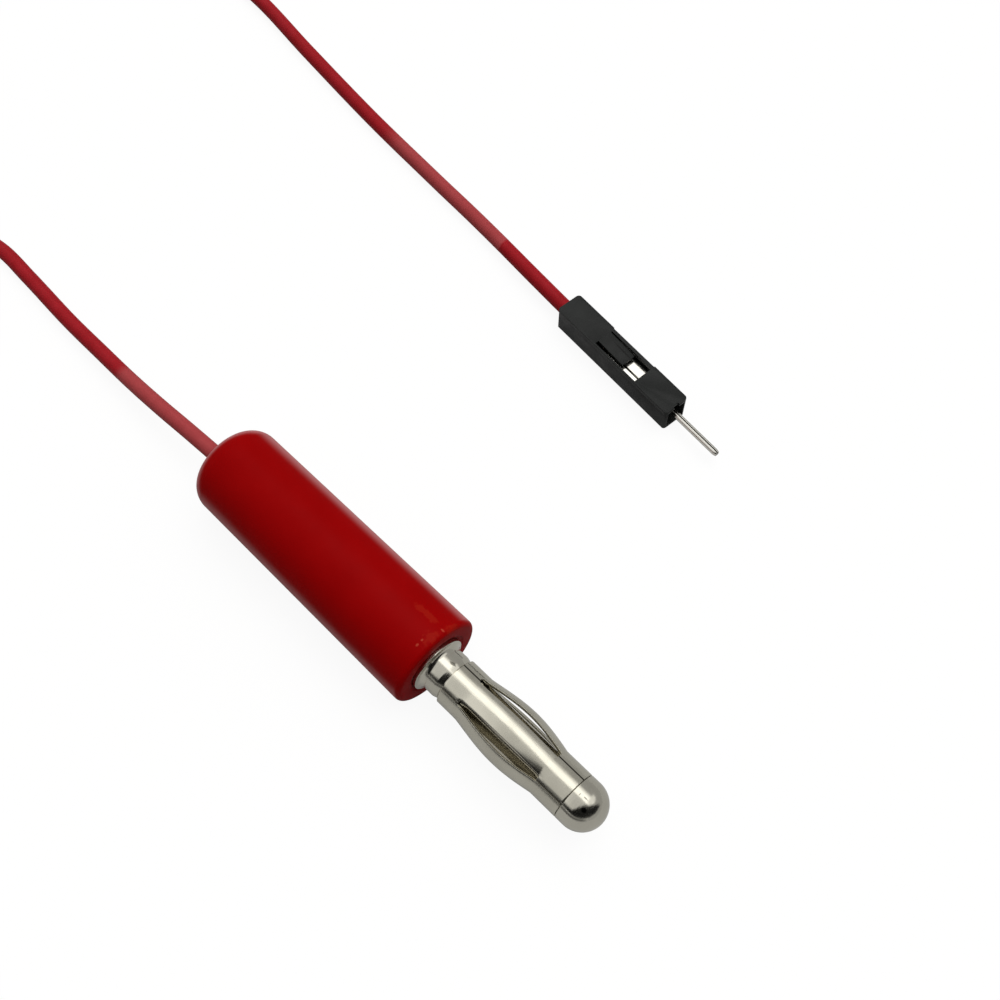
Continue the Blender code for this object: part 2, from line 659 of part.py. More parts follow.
# Pin housing and contact, built along the local X axis of the housing's place
def pin_housing(place, finish):
    half = HOUSING_PITCH / 2
    bm = bmesh.new()
    bmesh.ops.create_cube(bm, size=1.0)
    bmesh.ops.scale(bm, vec=(HOUSING_LENGTH, HOUSING_PITCH, HOUSING_PITCH), verts=bm.verts)
    bmesh.ops.translate(bm, vec=(HOUSING_LENGTH / 2, 0.0, half), verts=bm.verts)
    upright = [edge for edge in bm.edges
               if abs(edge.verts[0].co.z - edge.verts[1].co.z) > half]
    bmesh.ops.bevel(bm, geom=upright, offset=HOUSING_CORNER, segments=3, profile=0.5,
                    affect="EDGES", material=-1)
    long_edges = [edge for edge in bm.edges
                  if abs(edge.verts[0].co.x - edge.verts[1].co.x) > HOUSING_LENGTH / 2]
    bmesh.ops.bevel(bm, geom=long_edges, offset=HOUSING_EDGE, segments=2, profile=0.5,
                    affect="EDGES", material=-1)
    made = add_object("pin_housing", mesh_from(bm, "pin_housing"), finish, place)

    past = 0.5 * MM
    cavity = HOUSING_CAVITY_WIDTH / 2
    low = half - HOUSING_CAVITY_HEIGHT / 2
    high = half + HOUSING_CAVITY_HEIGHT / 2
    latch_end = LATCH_START + LATCH_LENGTH
    window_end = latch_end + WINDOW_LENGTH
    latch = LATCH_WIDTH / 2
    near = -latch - LATCH_NEAR_SLOT
    far = latch + LATCH_FAR_SLOT
    over = HOUSING_PITCH + past
    step = half - HOUSING_SIDE_STEP
    cuts = {
        "cavity": ((-past, -cavity, low), (HOUSING_LENGTH + past, cavity, high)),
        "latch_slot_far": ((LATCH_START, latch, half), (latch_end + past, far, over)),
        "latch_slot_near": ((LATCH_START, near, half), (latch_end + past, -latch, over)),
        "window": ((latch_end, near, half), (window_end, far, over)),
        "front_notch": ((HOUSING_LENGTH - FRONT_NOTCH_DEPTH, -FRONT_NOTCH_WIDTH / 2, half),
                        (HOUSING_LENGTH + past, FRONT_NOTCH_WIDTH / 2, over)),
        "side_step_left": ((-past, step, -past), (HOUSING_LENGTH + past, half + past,
                                                 HOUSING_SIDE_STEP_HEIGHT)),
        "side_step_right": ((-past, -half - past, -past), (HOUSING_LENGTH + past, -step,
                                                          HOUSING_SIDE_STEP_HEIGHT)),
        "latch_wall_step": ((LATCH_START - LATCH_FAR_SLOT, half - LATCH_WALL_STEP, half),
                            (window_end, half + past, over)),
    }
    for name, (start, end) in cuts.items():
        boolean(made, cutter_object(name, box_mesh(name, start, end), place))
    sink = cutter_object("latch_sink", box_mesh("latch_sink", (0.0, -latch - past / 8, 0.0),
                                                (LATCH_LENGTH + past, latch + past / 8, past)), place)
    sink.location = (LATCH_START, 0.0, HOUSING_PITCH)
    sink.rotation_euler = (0.0, math.asin(LATCH_SINK / LATCH_LENGTH), 0.0)
    boolean(made, sink)
    return made


def contact_sections():
    """Sections along the contact: place, half width, half height, squareness, half gap, seam angle."""
    crimp_r = WIRE_RADIUS + CLEARANCE + CONTACT_SHEET
    core_r = CONDUCTOR_DIAMETER / 2 + CLEARANCE + CONTACT_SHEET
    box_w = CONTACT_BOX_WIDTH / 2
    box_h = CONTACT_BOX_HEIGHT / 2
    pin = PIN_SIZE / 2
    tip = PIN_TIP_SIZE / 2
    start = INSULATION_CRIMP_START
    crimp_end = start + INSULATION_CRIMP_LENGTH
    pin_start = CONTACT_BOX_END + CONTACT_SHOULDER_LENGTH
    pin_end = HOUSING_LENGTH + PIN_REACH
    ear = 0.1 * MM
    ear_open = math.radians(14)
    trough_open = math.radians(100)
    box_seam = CONTACT_SEAM / 2 / box_h
    pin_seam = CONTACT_SEAM / 2 / pin
    aside = math.atan2(CONTACT_SEAM_OFFSET, box_h)
    return [
        (start, crimp_r, crimp_r, 2.0, ear_open, 0.0),
        (start + INSULATION_CRIMP_LENGTH / 2, crimp_r, crimp_r, 2.0, ear_open, 0.0),
        (crimp_end - ear, crimp_r, crimp_r, 2.0, ear_open, 0.0),
        (crimp_end, crimp_r, crimp_r, 2.0, trough_open, 0.0),
        (CONDUCTOR_CRIMP_START - ear, core_r, core_r, 2.0, trough_open, 0.0),
        (CONDUCTOR_CRIMP_START, core_r, core_r, 2.0, ear_open, 0.0),
        (CONDUCTOR_CRIMP_END - ear, core_r, core_r, 2.0, ear_open, 0.0),
        (CONDUCTOR_CRIMP_END, core_r, core_r, 2.0, trough_open, 0.0),
        (CONTACT_BOX_START - ear, box_w, box_h, 5.0, trough_open, 0.0),
        (CONTACT_BOX_START, box_w, box_h, 5.0, box_seam, aside),
        (CONTACT_BOX_END - CONTACT_BOX_LENGTH / 2, box_w, box_h, 5.0, box_seam, aside),
        (CONTACT_BOX_END, box_w, box_h, 5.0, box_seam, aside),
        (pin_start, pin, pin, 4.0, pin_seam, 0.0),
        ((pin_start + pin_end) / 2, pin, pin, 4.0, pin_seam, 0.0),
        (pin_end - PIN_TAPER_LENGTH, pin, pin, 4.0, pin_seam, 0.0),
        (pin_end - PIN_TAPER_LENGTH / 3, (pin + tip) / 2 + 0.02 * MM, (pin + tip) / 2 + 0.02 * MM, 3.0,
         pin_seam, 0.0),
        (pin_end, tip, tip, 2.5, pin_seam, 0.0),
    ]


def pin_contact(place, finish):
    """One stamped blank, folded: crimp ears, box and pin, with a seam along its top."""
    sections = contact_sections()
    sides = 20
    bm, grid = sheet_grid(len(sections), sides + 1)
    for row, (along, half_w, half_h, square, gap, aside) in enumerate(sections):
        for side in range(sides + 1):
            angle = aside + gap + (2 * math.pi - 2 * gap) * side / sides
            across = math.sin(angle)
            up = math.cos(angle)
            reach = (abs(across / half_w) ** square + abs(up / half_h) ** square) ** (-1.0 / square)
            grid[row][side].co = (along, reach * across, HOUSING_AXIS_HEIGHT + reach * up)
    bmesh.ops.recalc_face_normals(bm, faces=bm.faces)
    floor = grid[0][sides // 2]
    if floor.link_faces[0].normal.z > 0.0:
        bmesh.ops.reverse_faces(bm, faces=bm.faces)
    made = add_object("pin_contact", mesh_from(bm, "pin_contact"), finish, place)
    wall = made.modifiers.new("Sheet", "SOLIDIFY")
    wall.thickness = CONTACT_SHEET
    wall.offset = -1.0
    wall.use_even_offset = False
    smooth(made)
    return made


def build():
    red = material("sleeve_red", (0.36, 0.004, 0.006), 0.42, 0.0)
    insulation = material("insulation_red", (0.38, 0.012, 0.02), 0.5, 0.0)
    nickel = material("nickel", (0.62, 0.6, 0.54), 0.22, 1.0)
    spring = material("spring_nickel", (0.6, 0.58, 0.52), 0.26, 1.0)
    tinned = material("tinned_contact", (0.78, 0.77, 0.73), 0.25, 1.0)
    black = material("housing_black", (0.02, 0.021, 0.021), 0.5, 0.0)
    copper = material("copper_strands", (0.7, 0.3, 0.16), 0.35, 1.0)
    solder = material("solder_grey", (0.55, 0.55, 0.55), 0.35, 1.0)
    strip = material("tie_black", (0.03, 0.03, 0.03), 0.6, 0.0)

    axis = bpy.data.objects.new("plug_axis", None)
    PARTS.objects.link(axis)
    axis.location = (0.0, 0.0, AXIS_HEIGHT)
    axis.rotation_euler = (0.0, math.pi / 2, 0.0)
    sleeve(axis, red)
    plug_body(axis, nickel)
    spring_cage(axis, spring)
    solder_fillet(axis, solder)
    bare = strand_bundle("conductor_plug_end", SOLDER_CUP_DEPTH + BARE_AT_PLUG - 3 * CLEARANCE,
                         copper, axis)
    bare.location = (0.0, 0.0, WIRE_START_X + CLEARANCE)

    wire_tube("wire_plug_side", path_to_coil(PLUG_LEAD_ROUTE), insulation)
    wire_coil(insulation)
    coil_tie(strip)
    wire_tube("wire_pin_side", path_to_coil(PIN_LEAD_ROUTE), insulation)

    place = bpy.data.objects.new("housing_place", None)
    PARTS.objects.link(place)
    place.location = (HOUSING_X, HOUSING_Y, 0.0)
    place.rotation_euler = (0.0, 0.0, HOUSING_TURN)
    pin_housing(place, black)
    pin_contact(place, tinned)
    bare = strand_bundle("conductor_pin_end", CONDUCTOR_CRIMP_END - WIRE_END_IN_HOUSING - CLEARANCE,
                         copper, place)
    bare.location = (WIRE_END_IN_HOUSING + CLEARANCE, 0.0, HOUSING_AXIS_HEIGHT)
    bare.rotation_euler = (0.0, math.pi / 2, 0.0)


clear_scene()
PARTS = new_collection("test_lead")
CUTTERS = new_collection("cutters")
build()
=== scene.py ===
"""Looks of the test lead: a lantern plug in a red sleeve, a thin red wire and a pin housing."""
import math

import bmesh
import bpy
from mathutils import Matrix, Vector


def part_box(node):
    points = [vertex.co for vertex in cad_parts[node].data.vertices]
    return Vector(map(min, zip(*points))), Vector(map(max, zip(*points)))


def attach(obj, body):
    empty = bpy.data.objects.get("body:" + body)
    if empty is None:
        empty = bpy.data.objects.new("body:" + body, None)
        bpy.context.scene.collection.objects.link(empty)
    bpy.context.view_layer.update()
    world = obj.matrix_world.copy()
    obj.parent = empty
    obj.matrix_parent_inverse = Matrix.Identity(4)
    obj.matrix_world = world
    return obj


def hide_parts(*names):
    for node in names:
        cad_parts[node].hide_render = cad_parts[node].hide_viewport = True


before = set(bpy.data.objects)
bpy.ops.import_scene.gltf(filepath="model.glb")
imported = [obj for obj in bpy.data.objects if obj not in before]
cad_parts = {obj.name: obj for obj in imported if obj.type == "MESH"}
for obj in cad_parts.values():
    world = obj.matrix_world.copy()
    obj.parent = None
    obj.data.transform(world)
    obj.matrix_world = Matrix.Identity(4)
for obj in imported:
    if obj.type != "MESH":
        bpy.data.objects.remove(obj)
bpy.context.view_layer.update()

MM = 0.001
FULL_TURN = 2 * math.pi

# Camera
CAMERA_PLACE = Vector((32.47, -21.72, 98.737)) * MM
CAMERA_LOOK = Vector((-0.32773, 0.32644, -0.88658))
CAMERA_LENS = 48.06
SENSOR_WIDTH = 36.0

# Places that the frame gives
SLEEVE_LOW, SLEEVE_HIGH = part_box("plug_sleeve")
SLEEVE_REAR_X = SLEEVE_LOW[0]
SLEEVE_FRONT_X = SLEEVE_HIGH[0]
SLEEVE_FRONT_RADIUS = (SLEEVE_HIGH[2] - SLEEVE_LOW[2]) / 2
AXIS_HEIGHT = (SLEEVE_HIGH[2] + SLEEVE_LOW[2]) / 2
PLUG_LOW, PLUG_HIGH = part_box("plug_body")
SHANK_REAR_X = PLUG_LOW[0]
TIP_END_X = PLUG_HIGH[0]
CAGE_START_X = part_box("spring_cage")[0][0]
CAGE_END_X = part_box("spring_cage")[1][0]
CLEARANCE = 0.05 * MM

# Sleeve
SLEEVE_REAR_RADIUS = 3.88 * MM
SLEEVE_REAR_ROUNDING = 1.8 * MM
SLEEVE_FRONT_ROUNDING = 0.42 * MM
SLEEVE_HOLE_RADIUS = 1.75 * MM
SLEEVE_HOLE_ROUNDING = 0.22 * MM
SLEEVE_REAR_WALL = 3.0 * MM
SLEEVE_CAVITY_RADIUS = 2.4 * MM
SLEEVE_MOUTH_CHAMFER = 0.35 * MM
SLEEVE_SEAT_DEPTH = 0.3 * MM

# Plug
TIP_RADIUS = 2.0 * MM
NECK_RADIUS = 1.925 * MM
FLANGE_RADIUS = 2.4 * MM
FLANGE_STAND_OUT = 0.2 * MM
FLANGE_FILLET_LENGTH = 0.5 * MM
NECK_TAPER = 0.15 * MM
NECK_TAPER_LENGTH = 0.46 * MM
LIP_ROUNDING = 0.05 * MM
EDGE_BREAK = 0.07 * MM
WAIST_RADIUS = 1.55 * MM
SEAT_TAPER_LENGTH = 0.5 * MM
SHANK_RADIUS = 1.7 * MM
SOLDER_CUP_RADIUS = 1.1 * MM
SOLDER_CUP_DEPTH = 3.5 * MM
SOLDER_FILLET_LENGTH = 0.6 * MM

# Spring cage
CAGE_RADIUS = 2.0 * MM
CAGE_SHEET = 0.2 * MM
CAGE_LEAVES = 5
CAGE_REAR_RING = 2.0 * MM
CAGE_FRONT_RING = 2.45 * MM
CAGE_LEAF_LENGTH = CAGE_END_X - CAGE_START_X - CAGE_REAR_RING - CAGE_FRONT_RING
CAGE_SLOT_WIDTH = 0.56 * MM
CAGE_BULGE = 0.485 * MM
CAGE_SEAM_GAP = 0.07 * MM
CAGE_CREASE_DEPTH = 0.05 * MM
CAGE_SEAM_ANGLE = math.radians(147.8)
CAGE_SEAM_SHARE = 0.5
CAGE_REAR_SLANT = 0.12 * MM
CAGE_SLANT_ANGLE = math.radians(240.0)
SEAT_RADIUS = CAGE_RADIUS - CAGE_SHEET - CAGE_CREASE_DEPTH - CLEARANCE

# Wire, its bare ends and the coil that takes up its spare length
WIRE_DIAMETER = 1.4 * MM
WIRE_RADIUS = WIRE_DIAMETER / 2
BARE_AT_PLUG = 2.0 * MM
WIRE_START_X = SHANK_REAR_X - BARE_AT_PLUG
EXIT_HEIGHT = AXIS_HEIGHT - SLEEVE_HOLE_RADIUS + WIRE_RADIUS + CLEARANCE
STRAND_RADIUS = 0.1 * MM
STRAND_PITCH = 6.0 * MM
COIL_RADIUS = 8.15 * MM
COIL_STRANDS_WIDE = 4
COIL_CENTRE_X = -79.075 * MM
COIL_CENTRE_Y = 1.0 * MM
TIE_THICKNESS = 0.35 * MM
TIE_WIDTH = 2.0 * MM
TIE_TAIL_LENGTH = 5.0 * MM
TIE_TAIL_TURNS = 1.25
TIE_ANGLE = math.radians(100.0)
COIL_LIFT = TIE_THICKNESS + CLEARANCE
COIL_HALF_WIDTH = COIL_STRANDS_WIDE * WIRE_RADIUS
COIL_OUTER_STRAND = COIL_RADIUS + COIL_HALF_WIDTH - WIRE_RADIUS
COIL_BOTTOM_STRAND = COIL_LIFT + WIRE_RADIUS
COIL_TOP_STRAND = COIL_BOTTOM_STRAND + WIRE_DIAMETER

# Pin housing and contact, measured from the rear end of the housing
HOUSING_LENGTH = 14.0 * MM
HOUSING_PITCH = 2.54 * MM
HOUSING_CAVITY = 1.86 * MM
HOUSING_EDGE = 0.14 * MM
HOUSING_CORNER = 0.36 * MM
HOUSING_SIDE_STEP = 0.05 * MM
HOUSING_SIDE_STEP_HEIGHT = 2.22 * MM
HOUSING_RIM = 0.035 * MM
LATCH_START = 4.8 * MM
LATCH_LENGTH = 3.1 * MM
LATCH_WIDTH = 1.44 * MM
LATCH_NEAR_SLOT = 0.36 * MM
LATCH_FAR_SLOT = 0.14 * MM
LATCH_SINK = 0.2 * MM
LATCH_WALL_STEP = 0.09 * MM
WINDOW_LENGTH = 1.95 * MM
FRONT_NOTCH_WIDTH = 0.6 * MM
FRONT_NOTCH_DEPTH = 0.22 * MM
HOUSING_X = -12.805 * MM
HOUSING_Y = 31.89 * MM
HOUSING_TURN = math.radians(-5.3)
HOUSING_PLACE = Matrix.Translation((HOUSING_X, HOUSING_Y, 0.0)) @ Matrix.Rotation(HOUSING_TURN, 4, "Z")
CONTACT_AXIS_HEIGHT = HOUSING_PITCH / 2

CONTACT_SHEET = 0.15 * MM
CONTACT_SEAM = 0.09 * MM
PIN_SIZE = 0.58 * MM
PIN_REACH = 5.1 * MM
PIN_TAPER_LENGTH = 0.45 * MM
PIN_TIP_SIZE = 0.38 * MM
INSULATION_CRIMP_START = 1.3 * MM
INSULATION_CRIMP_END = 2.9 * MM
CONDUCTOR_CRIMP_START = 3.6 * MM
CONDUCTOR_CRIMP_END = 5.2 * MM
CONTACT_BOX_START = 5.9 * MM
CONTACT_BOX_END = 10.3 * MM
CONTACT_BOX_WIDTH = 1.7 * MM
CONTACT_BOX_HEIGHT = 1.15 * MM
CONTACT_SEAM_OFFSET = -0.33 * MM
CONTACT_SHOULDER_LENGTH = 0.6 * MM
BOX_SQUARENESS = 12.0
PIN_SQUARENESS = 2.4
ROUND = 2.0


# Objects and camera
def linked(name, data):
    """A new object, in the scene."""
    made = bpy.data.objects.new(name, data)
    bpy.context.scene.collection.objects.link(made)
    return made


def mesh_of(name, bm):
    mesh = bpy.data.meshes.new(name)
    bm.to_mesh(mesh)
    bm.free()
    return mesh


def photograph_camera():
    lens = bpy.data.cameras.new("photograph_camera")
    lens.lens = CAMERA_LENS
    lens.sensor_width = SENSOR_WIDTH
    lens.clip_start = MM
    lens.clip_end = 10.0
    made = linked("photograph_camera", lens)
    made.location = CAMERA_PLACE
    made.rotation_euler = CAMERA_LOOK.to_track_quat("-Z", "Y").to_euler()
    bpy.context.scene.camera = made


# Shapes that more than one piece uses
def arc(centre_x, centre_r, radius, start_deg, end_deg, count):
    """Points of an arc in a turned profile, each (place along the axis, distance from it)."""
    points = []
    for index in range(count + 1):
        turn = math.radians(start_deg + (end_deg - start_deg) * index / count)
        points.append((centre_x + radius * math.cos(turn), centre_r + radius * math.sin(turn)))
    return points


def piece(name, bm, finish, body, sharp_deg=35.0):
    """A finished piece from a bmesh: shaded, given its finish, and riding on its body."""
    mesh = mesh_of(name, bm)
    mesh.materials.append(finish)
    mesh.shade_smooth()
    mesh.set_sharp_from_angle(angle=math.radians(sharp_deg))
    made = linked(name, mesh)
    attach(made, body)
    return made


def turned(profile, closed, steps):
    """A profile spun round the plug's axis, with its poles closed and its faces outwards."""
    bm = bmesh.new()
    line = [bm.verts.new((x, 0.0, AXIS_HEIGHT + radius)) for x, radius in profile]
    edges = [bm.edges.new(pair) for pair in zip(line, line[1:])]
    if closed:
        edges.append(bm.edges.new((line[-1], line[0])))
    bmesh.ops.spin(bm, geom=line + edges, cent=(0.0, 0.0, AXIS_HEIGHT), axis=(1.0, 0.0, 0.0),
                   angle=FULL_TURN, steps=steps, use_merge=True)
    bmesh.ops.remove_doubles(bm, verts=bm.verts, dist=0.0001 * MM)
    bmesh.ops.recalc_face_normals(bm, faces=bm.faces)
    return bm


def sheet_grid(rows, columns):
    """A flat grid of faces whose vertices are listed by row and column."""
    bm = bmesh.new()
    bmesh.ops.create_grid(bm, x_segments=columns - 1, y_segments=rows - 1, size=1.0)
    order = sorted(bm.verts, key=lambda vert: (round(vert.co.y, 6), round(vert.co.x, 6)))
    return bm, [order[row * columns:(row + 1) * columns] for row in range(rows)]


def thicken(made, thickness, even):
    """Gives a folded sheet its thickness, inwards."""
    wall = made.modifiers.new("Sheet", "SOLIDIFY")
    wall.thickness = thickness
    wall.offset = -1.0
    wall.use_even_offset = even


def soften_rims(made, rim):
    """Softens the cut edges of a sheet."""
    edge = made.modifiers.new("Rim", "BEVEL")
    edge.width = rim
    edge.segments = 2
    edge.limit_method = "ANGLE"
    edge.angle_limit = math.radians(60.0)
    edge.use_clamp_overlap = True


def round_edges(bm, edges, width, segments, clamp=False):
    bmesh.ops.bevel(bm, geom=edges, offset=width, segments=segments, profile=0.5, affect="EDGES",
                    clamp_overlap=clamp, material=-1)


def even_rows(start, end, count):
    """Places from start to end at an even step, without the end."""
    return [start + (end - start) * index / count for index in range(count)]


# Wire
def housing_point(along, height):
    """A point on the housing's middle plane, at a distance along it from its rear end."""
    return (HOUSING_X + along * math.cos(HOUSING_TURN),
            HOUSING_Y + along * math.sin(HOUSING_TURN),
            height)


def points_from(anchor_x, anchor_y, top, offsets):
    """Route points in mm from an anchor; the third number is the share of the height to the top."""
    return [(anchor_x + x * MM, anchor_y + y * MM, WIRE_RADIUS + share * (top - WIRE_RADIUS))
            for x, y, share in offsets]


def plug_lead_route():
    """From the solder cup, out of the sleeve and along the table to the coil."""
    route = [
        (WIRE_START_X, 0.0, AXIS_HEIGHT),
        (SLEEVE_REAR_X + 9.0 * MM, 0.0, AXIS_HEIGHT - 0.15 * MM),
        (SLEEVE_REAR_X + SLEEVE_REAR_WALL, 0.0, EXIT_HEIGHT + 0.04 * MM),
        (SLEEVE_REAR_X, 0.0, EXIT_HEIGHT),
    ]
    route += points_from(SLEEVE_REAR_X, 0.0, EXIT_HEIGHT, [
        (-4.75, -0.18, 0.913),
        (-8.65, -0.33, 0.76),
        (-12.95, -0.36, 0.52),
        (-17.35, -0.26, 0.283),
        (-22.45, -0.16, 0.109),
        (-29.15, 0.16, 0.013),
        (-33.65, 0.2, 0.0),
    ])
    route += points_from(COIL_CENTRE_X, COIL_CENTRE_Y - COIL_OUTER_STRAND, COIL_TOP_STRAND, [
        (18.5, 8.05, 0.0),
        (12.5, 4.25, 0.0),
        (7.0, 0.95, 0.28),
        (0.0, 0.0, 1.0),
    ])
    return route


def pin_lead_route():
    """From the crimp, out of the housing and along the table to the coil."""
    route = [
        housing_point(INSULATION_CRIMP_END, CONTACT_AXIS_HEIGHT),
        housing_point(0.0, CONTACT_AXIS_HEIGHT),
    ]
    route += points_from(HOUSING_X, HOUSING_Y, CONTACT_AXIS_HEIGHT, [
        (-4.87, 0.57, 0.84),
        (-9.67, 1.25, 0.386),
        (-13.97, 1.77, 0.105),
        (-19.47, 2.27, 0.0),
        (-29.37, 3.22, 0.0),
        (-40.57, 4.67, 0.0),
        (-49.77, 5.97, 0.0),
    ])
    route += points_from(COIL_CENTRE_X - COIL_OUTER_STRAND, COIL_CENTRE_Y, COIL_BOTTOM_STRAND, [
        (19.75, 36.9, 0.0),
        (12.75, 34.6, 0.0),
        (6.25, 29.6, 0.0),
        (2.05, 22.6, 0.0),
        (0.25, 15.0, 0.0),
        (0.0, 7.5, 0.25),
        (0.0, 0.0, 1.0),
    ])
    return route


def smooth_path(route, step):
    """Points at an even step along a smooth curve through the route's own points."""
    points = [Vector(point) for point in route]
    ends = [2 * points[0] - points[1]] + points + [2 * points[-1] - points[-2]]
    fine = []
    for before, start, end, after in zip(ends, ends[1:], ends[2:], ends[3:]):
        span = (end - start).length
        leave = (end - before) * span / ((end - start).length + (start - before).length)
        arrive = (after - start) * span / ((after - end).length + (end - start).length)
        for index in range(48):
            t = index / 48
            fine.append((2 * t ** 3 - 3 * t ** 2 + 1) * start + (t ** 3 - 2 * t ** 2 + t) * leave
                        + (-2 * t ** 3 + 3 * t ** 2) * end + (t ** 3 - t ** 2) * arrive)
    fine.append(points[-1])
    lengths = [0.0]
    for first, second in zip(fine, fine[1:]):
        lengths.append(lengths[-1] + (second - first).length)
    count = max(2, round(lengths[-1] / step))
    path = []
    place = 0
    for index in range(count + 1):
        wanted = lengths[-1] * index / count
        while place < len(lengths) - 2 and lengths[place + 1] < wanted:
            place += 1
        share = (wanted - lengths[place]) / (lengths[place + 1] - lengths[place])
        point = fine[place].lerp(fine[place + 1], share)
        path.append(Vector((point.x, point.y, max(point.z, WIRE_RADIUS))))
    return path


def coil_path(steps_per_turn):
    """The spare length: inwards in the bottom row, up one strand, and outwards in the top row."""
    row_turns = COIL_STRANDS_WIDE - 1
    climb_turns = 0.25
    outer_offset = COIL_OUTER_STRAND - COIL_RADIUS
    total = 2 * row_turns + climb_turns
    count = round(total * steps_per_turn)
    path = []
    for index in range(1, count):
        turns = total * index / count
        climb = min(max((turns - row_turns) / climb_turns, 0.0), 1.0)
        inward = min(turns, row_turns)
        outward = max(turns - row_turns - climb_turns, 0.0)
        radius = COIL_RADIUS + outer_offset + (outward - inward) * WIRE_DIAMETER
        angle = math.pi + FULL_TURN * turns
        height = COIL_BOTTOM_STRAND + WIRE_DIAMETER * climb ** 2 * (3 - 2 * climb)
        path.append(Vector((COIL_CENTRE_X + radius * math.cos(angle),
                            COIL_CENTRE_Y + radius * math.sin(angle), height)))
    return path


def wire(finish):
    """One wire from the solder cup, round the coil, to the crimp in the housing."""
    step = WIRE_DIAMETER / 3
    path = smooth_path(pin_lead_route(), step) + coil_path(110)
    path += reversed(smooth_path(plug_lead_route(), step))
    path.reverse()
    curve = bpy.data.curves.new("wire", "CURVE")
    curve.dimensions = "3D"
    curve.bevel_depth = WIRE_RADIUS
    curve.bevel_resolution = 6
    curve.use_fill_caps = True
    spline = curve.splines.new("POLY")
    spline.points.add(len(path) - 1)
    for point, place in zip(spline.points, path):
        point.co = (*place, 1.0)
    spline.use_smooth = True
    curve.materials.append(finish)
    made = linked("wire", curve)
    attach(made, "lead")
    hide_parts("wire_plug_side", "wire_coil", "wire_pin_side")
    return made


def wound_rod(bm, start, radius, sides, centre, axis, length, turns, rows):
    """A round rod wound about an axis, with both its ends closed; start places its first circle."""
    ring = bmesh.ops.create_circle(bm, cap_ends=False, segments=sides, radius=radius,
                                   matrix=start)["verts"]
    edges = list({edge for vert in ring for edge in vert.link_edges})
    last = bmesh.ops.spin(bm, geom=ring + edges, cent=centre, axis=axis, angle=FULL_TURN * turns,
                          dvec=Vector(axis) * length / rows, steps=rows)["geom_last"]
    edges += [item for item in last if isinstance(item, bmesh.types.BMEdge)]
    bmesh.ops.holes_fill(bm, edges=edges, sides=sides)


def strands(name, length, place, finish):
    """Bare twisted strands, six round one, from the end of the insulation."""
    bm = bmesh.new()
    rows = round(length / (0.25 * MM))
    for index in range(7):
        offset = 0.0 if index == 0 else 2 * STRAND_RADIUS
        turn = Matrix.Rotation(FULL_TURN * index / 6, 4, "X")
        start = turn @ Matrix.Translation((0.0, 0.0, offset)) @ Matrix.Rotation(math.pi / 2, 4, "Y")
        wound_rod(bm, start, STRAND_RADIUS * 0.97, 12, (0.0, 0.0, 0.0), (1.0, 0.0, 0.0), length,
                  length / STRAND_PITCH, rows)
    bmesh.ops.recalc_face_normals(bm, faces=bm.faces)
    bmesh.ops.transform(bm, matrix=place, verts=bm.verts)
    made = piece(name, bm, finish, "lead", 50.0)
    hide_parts(name.replace("strands", "conductor") + "_end")
    return made


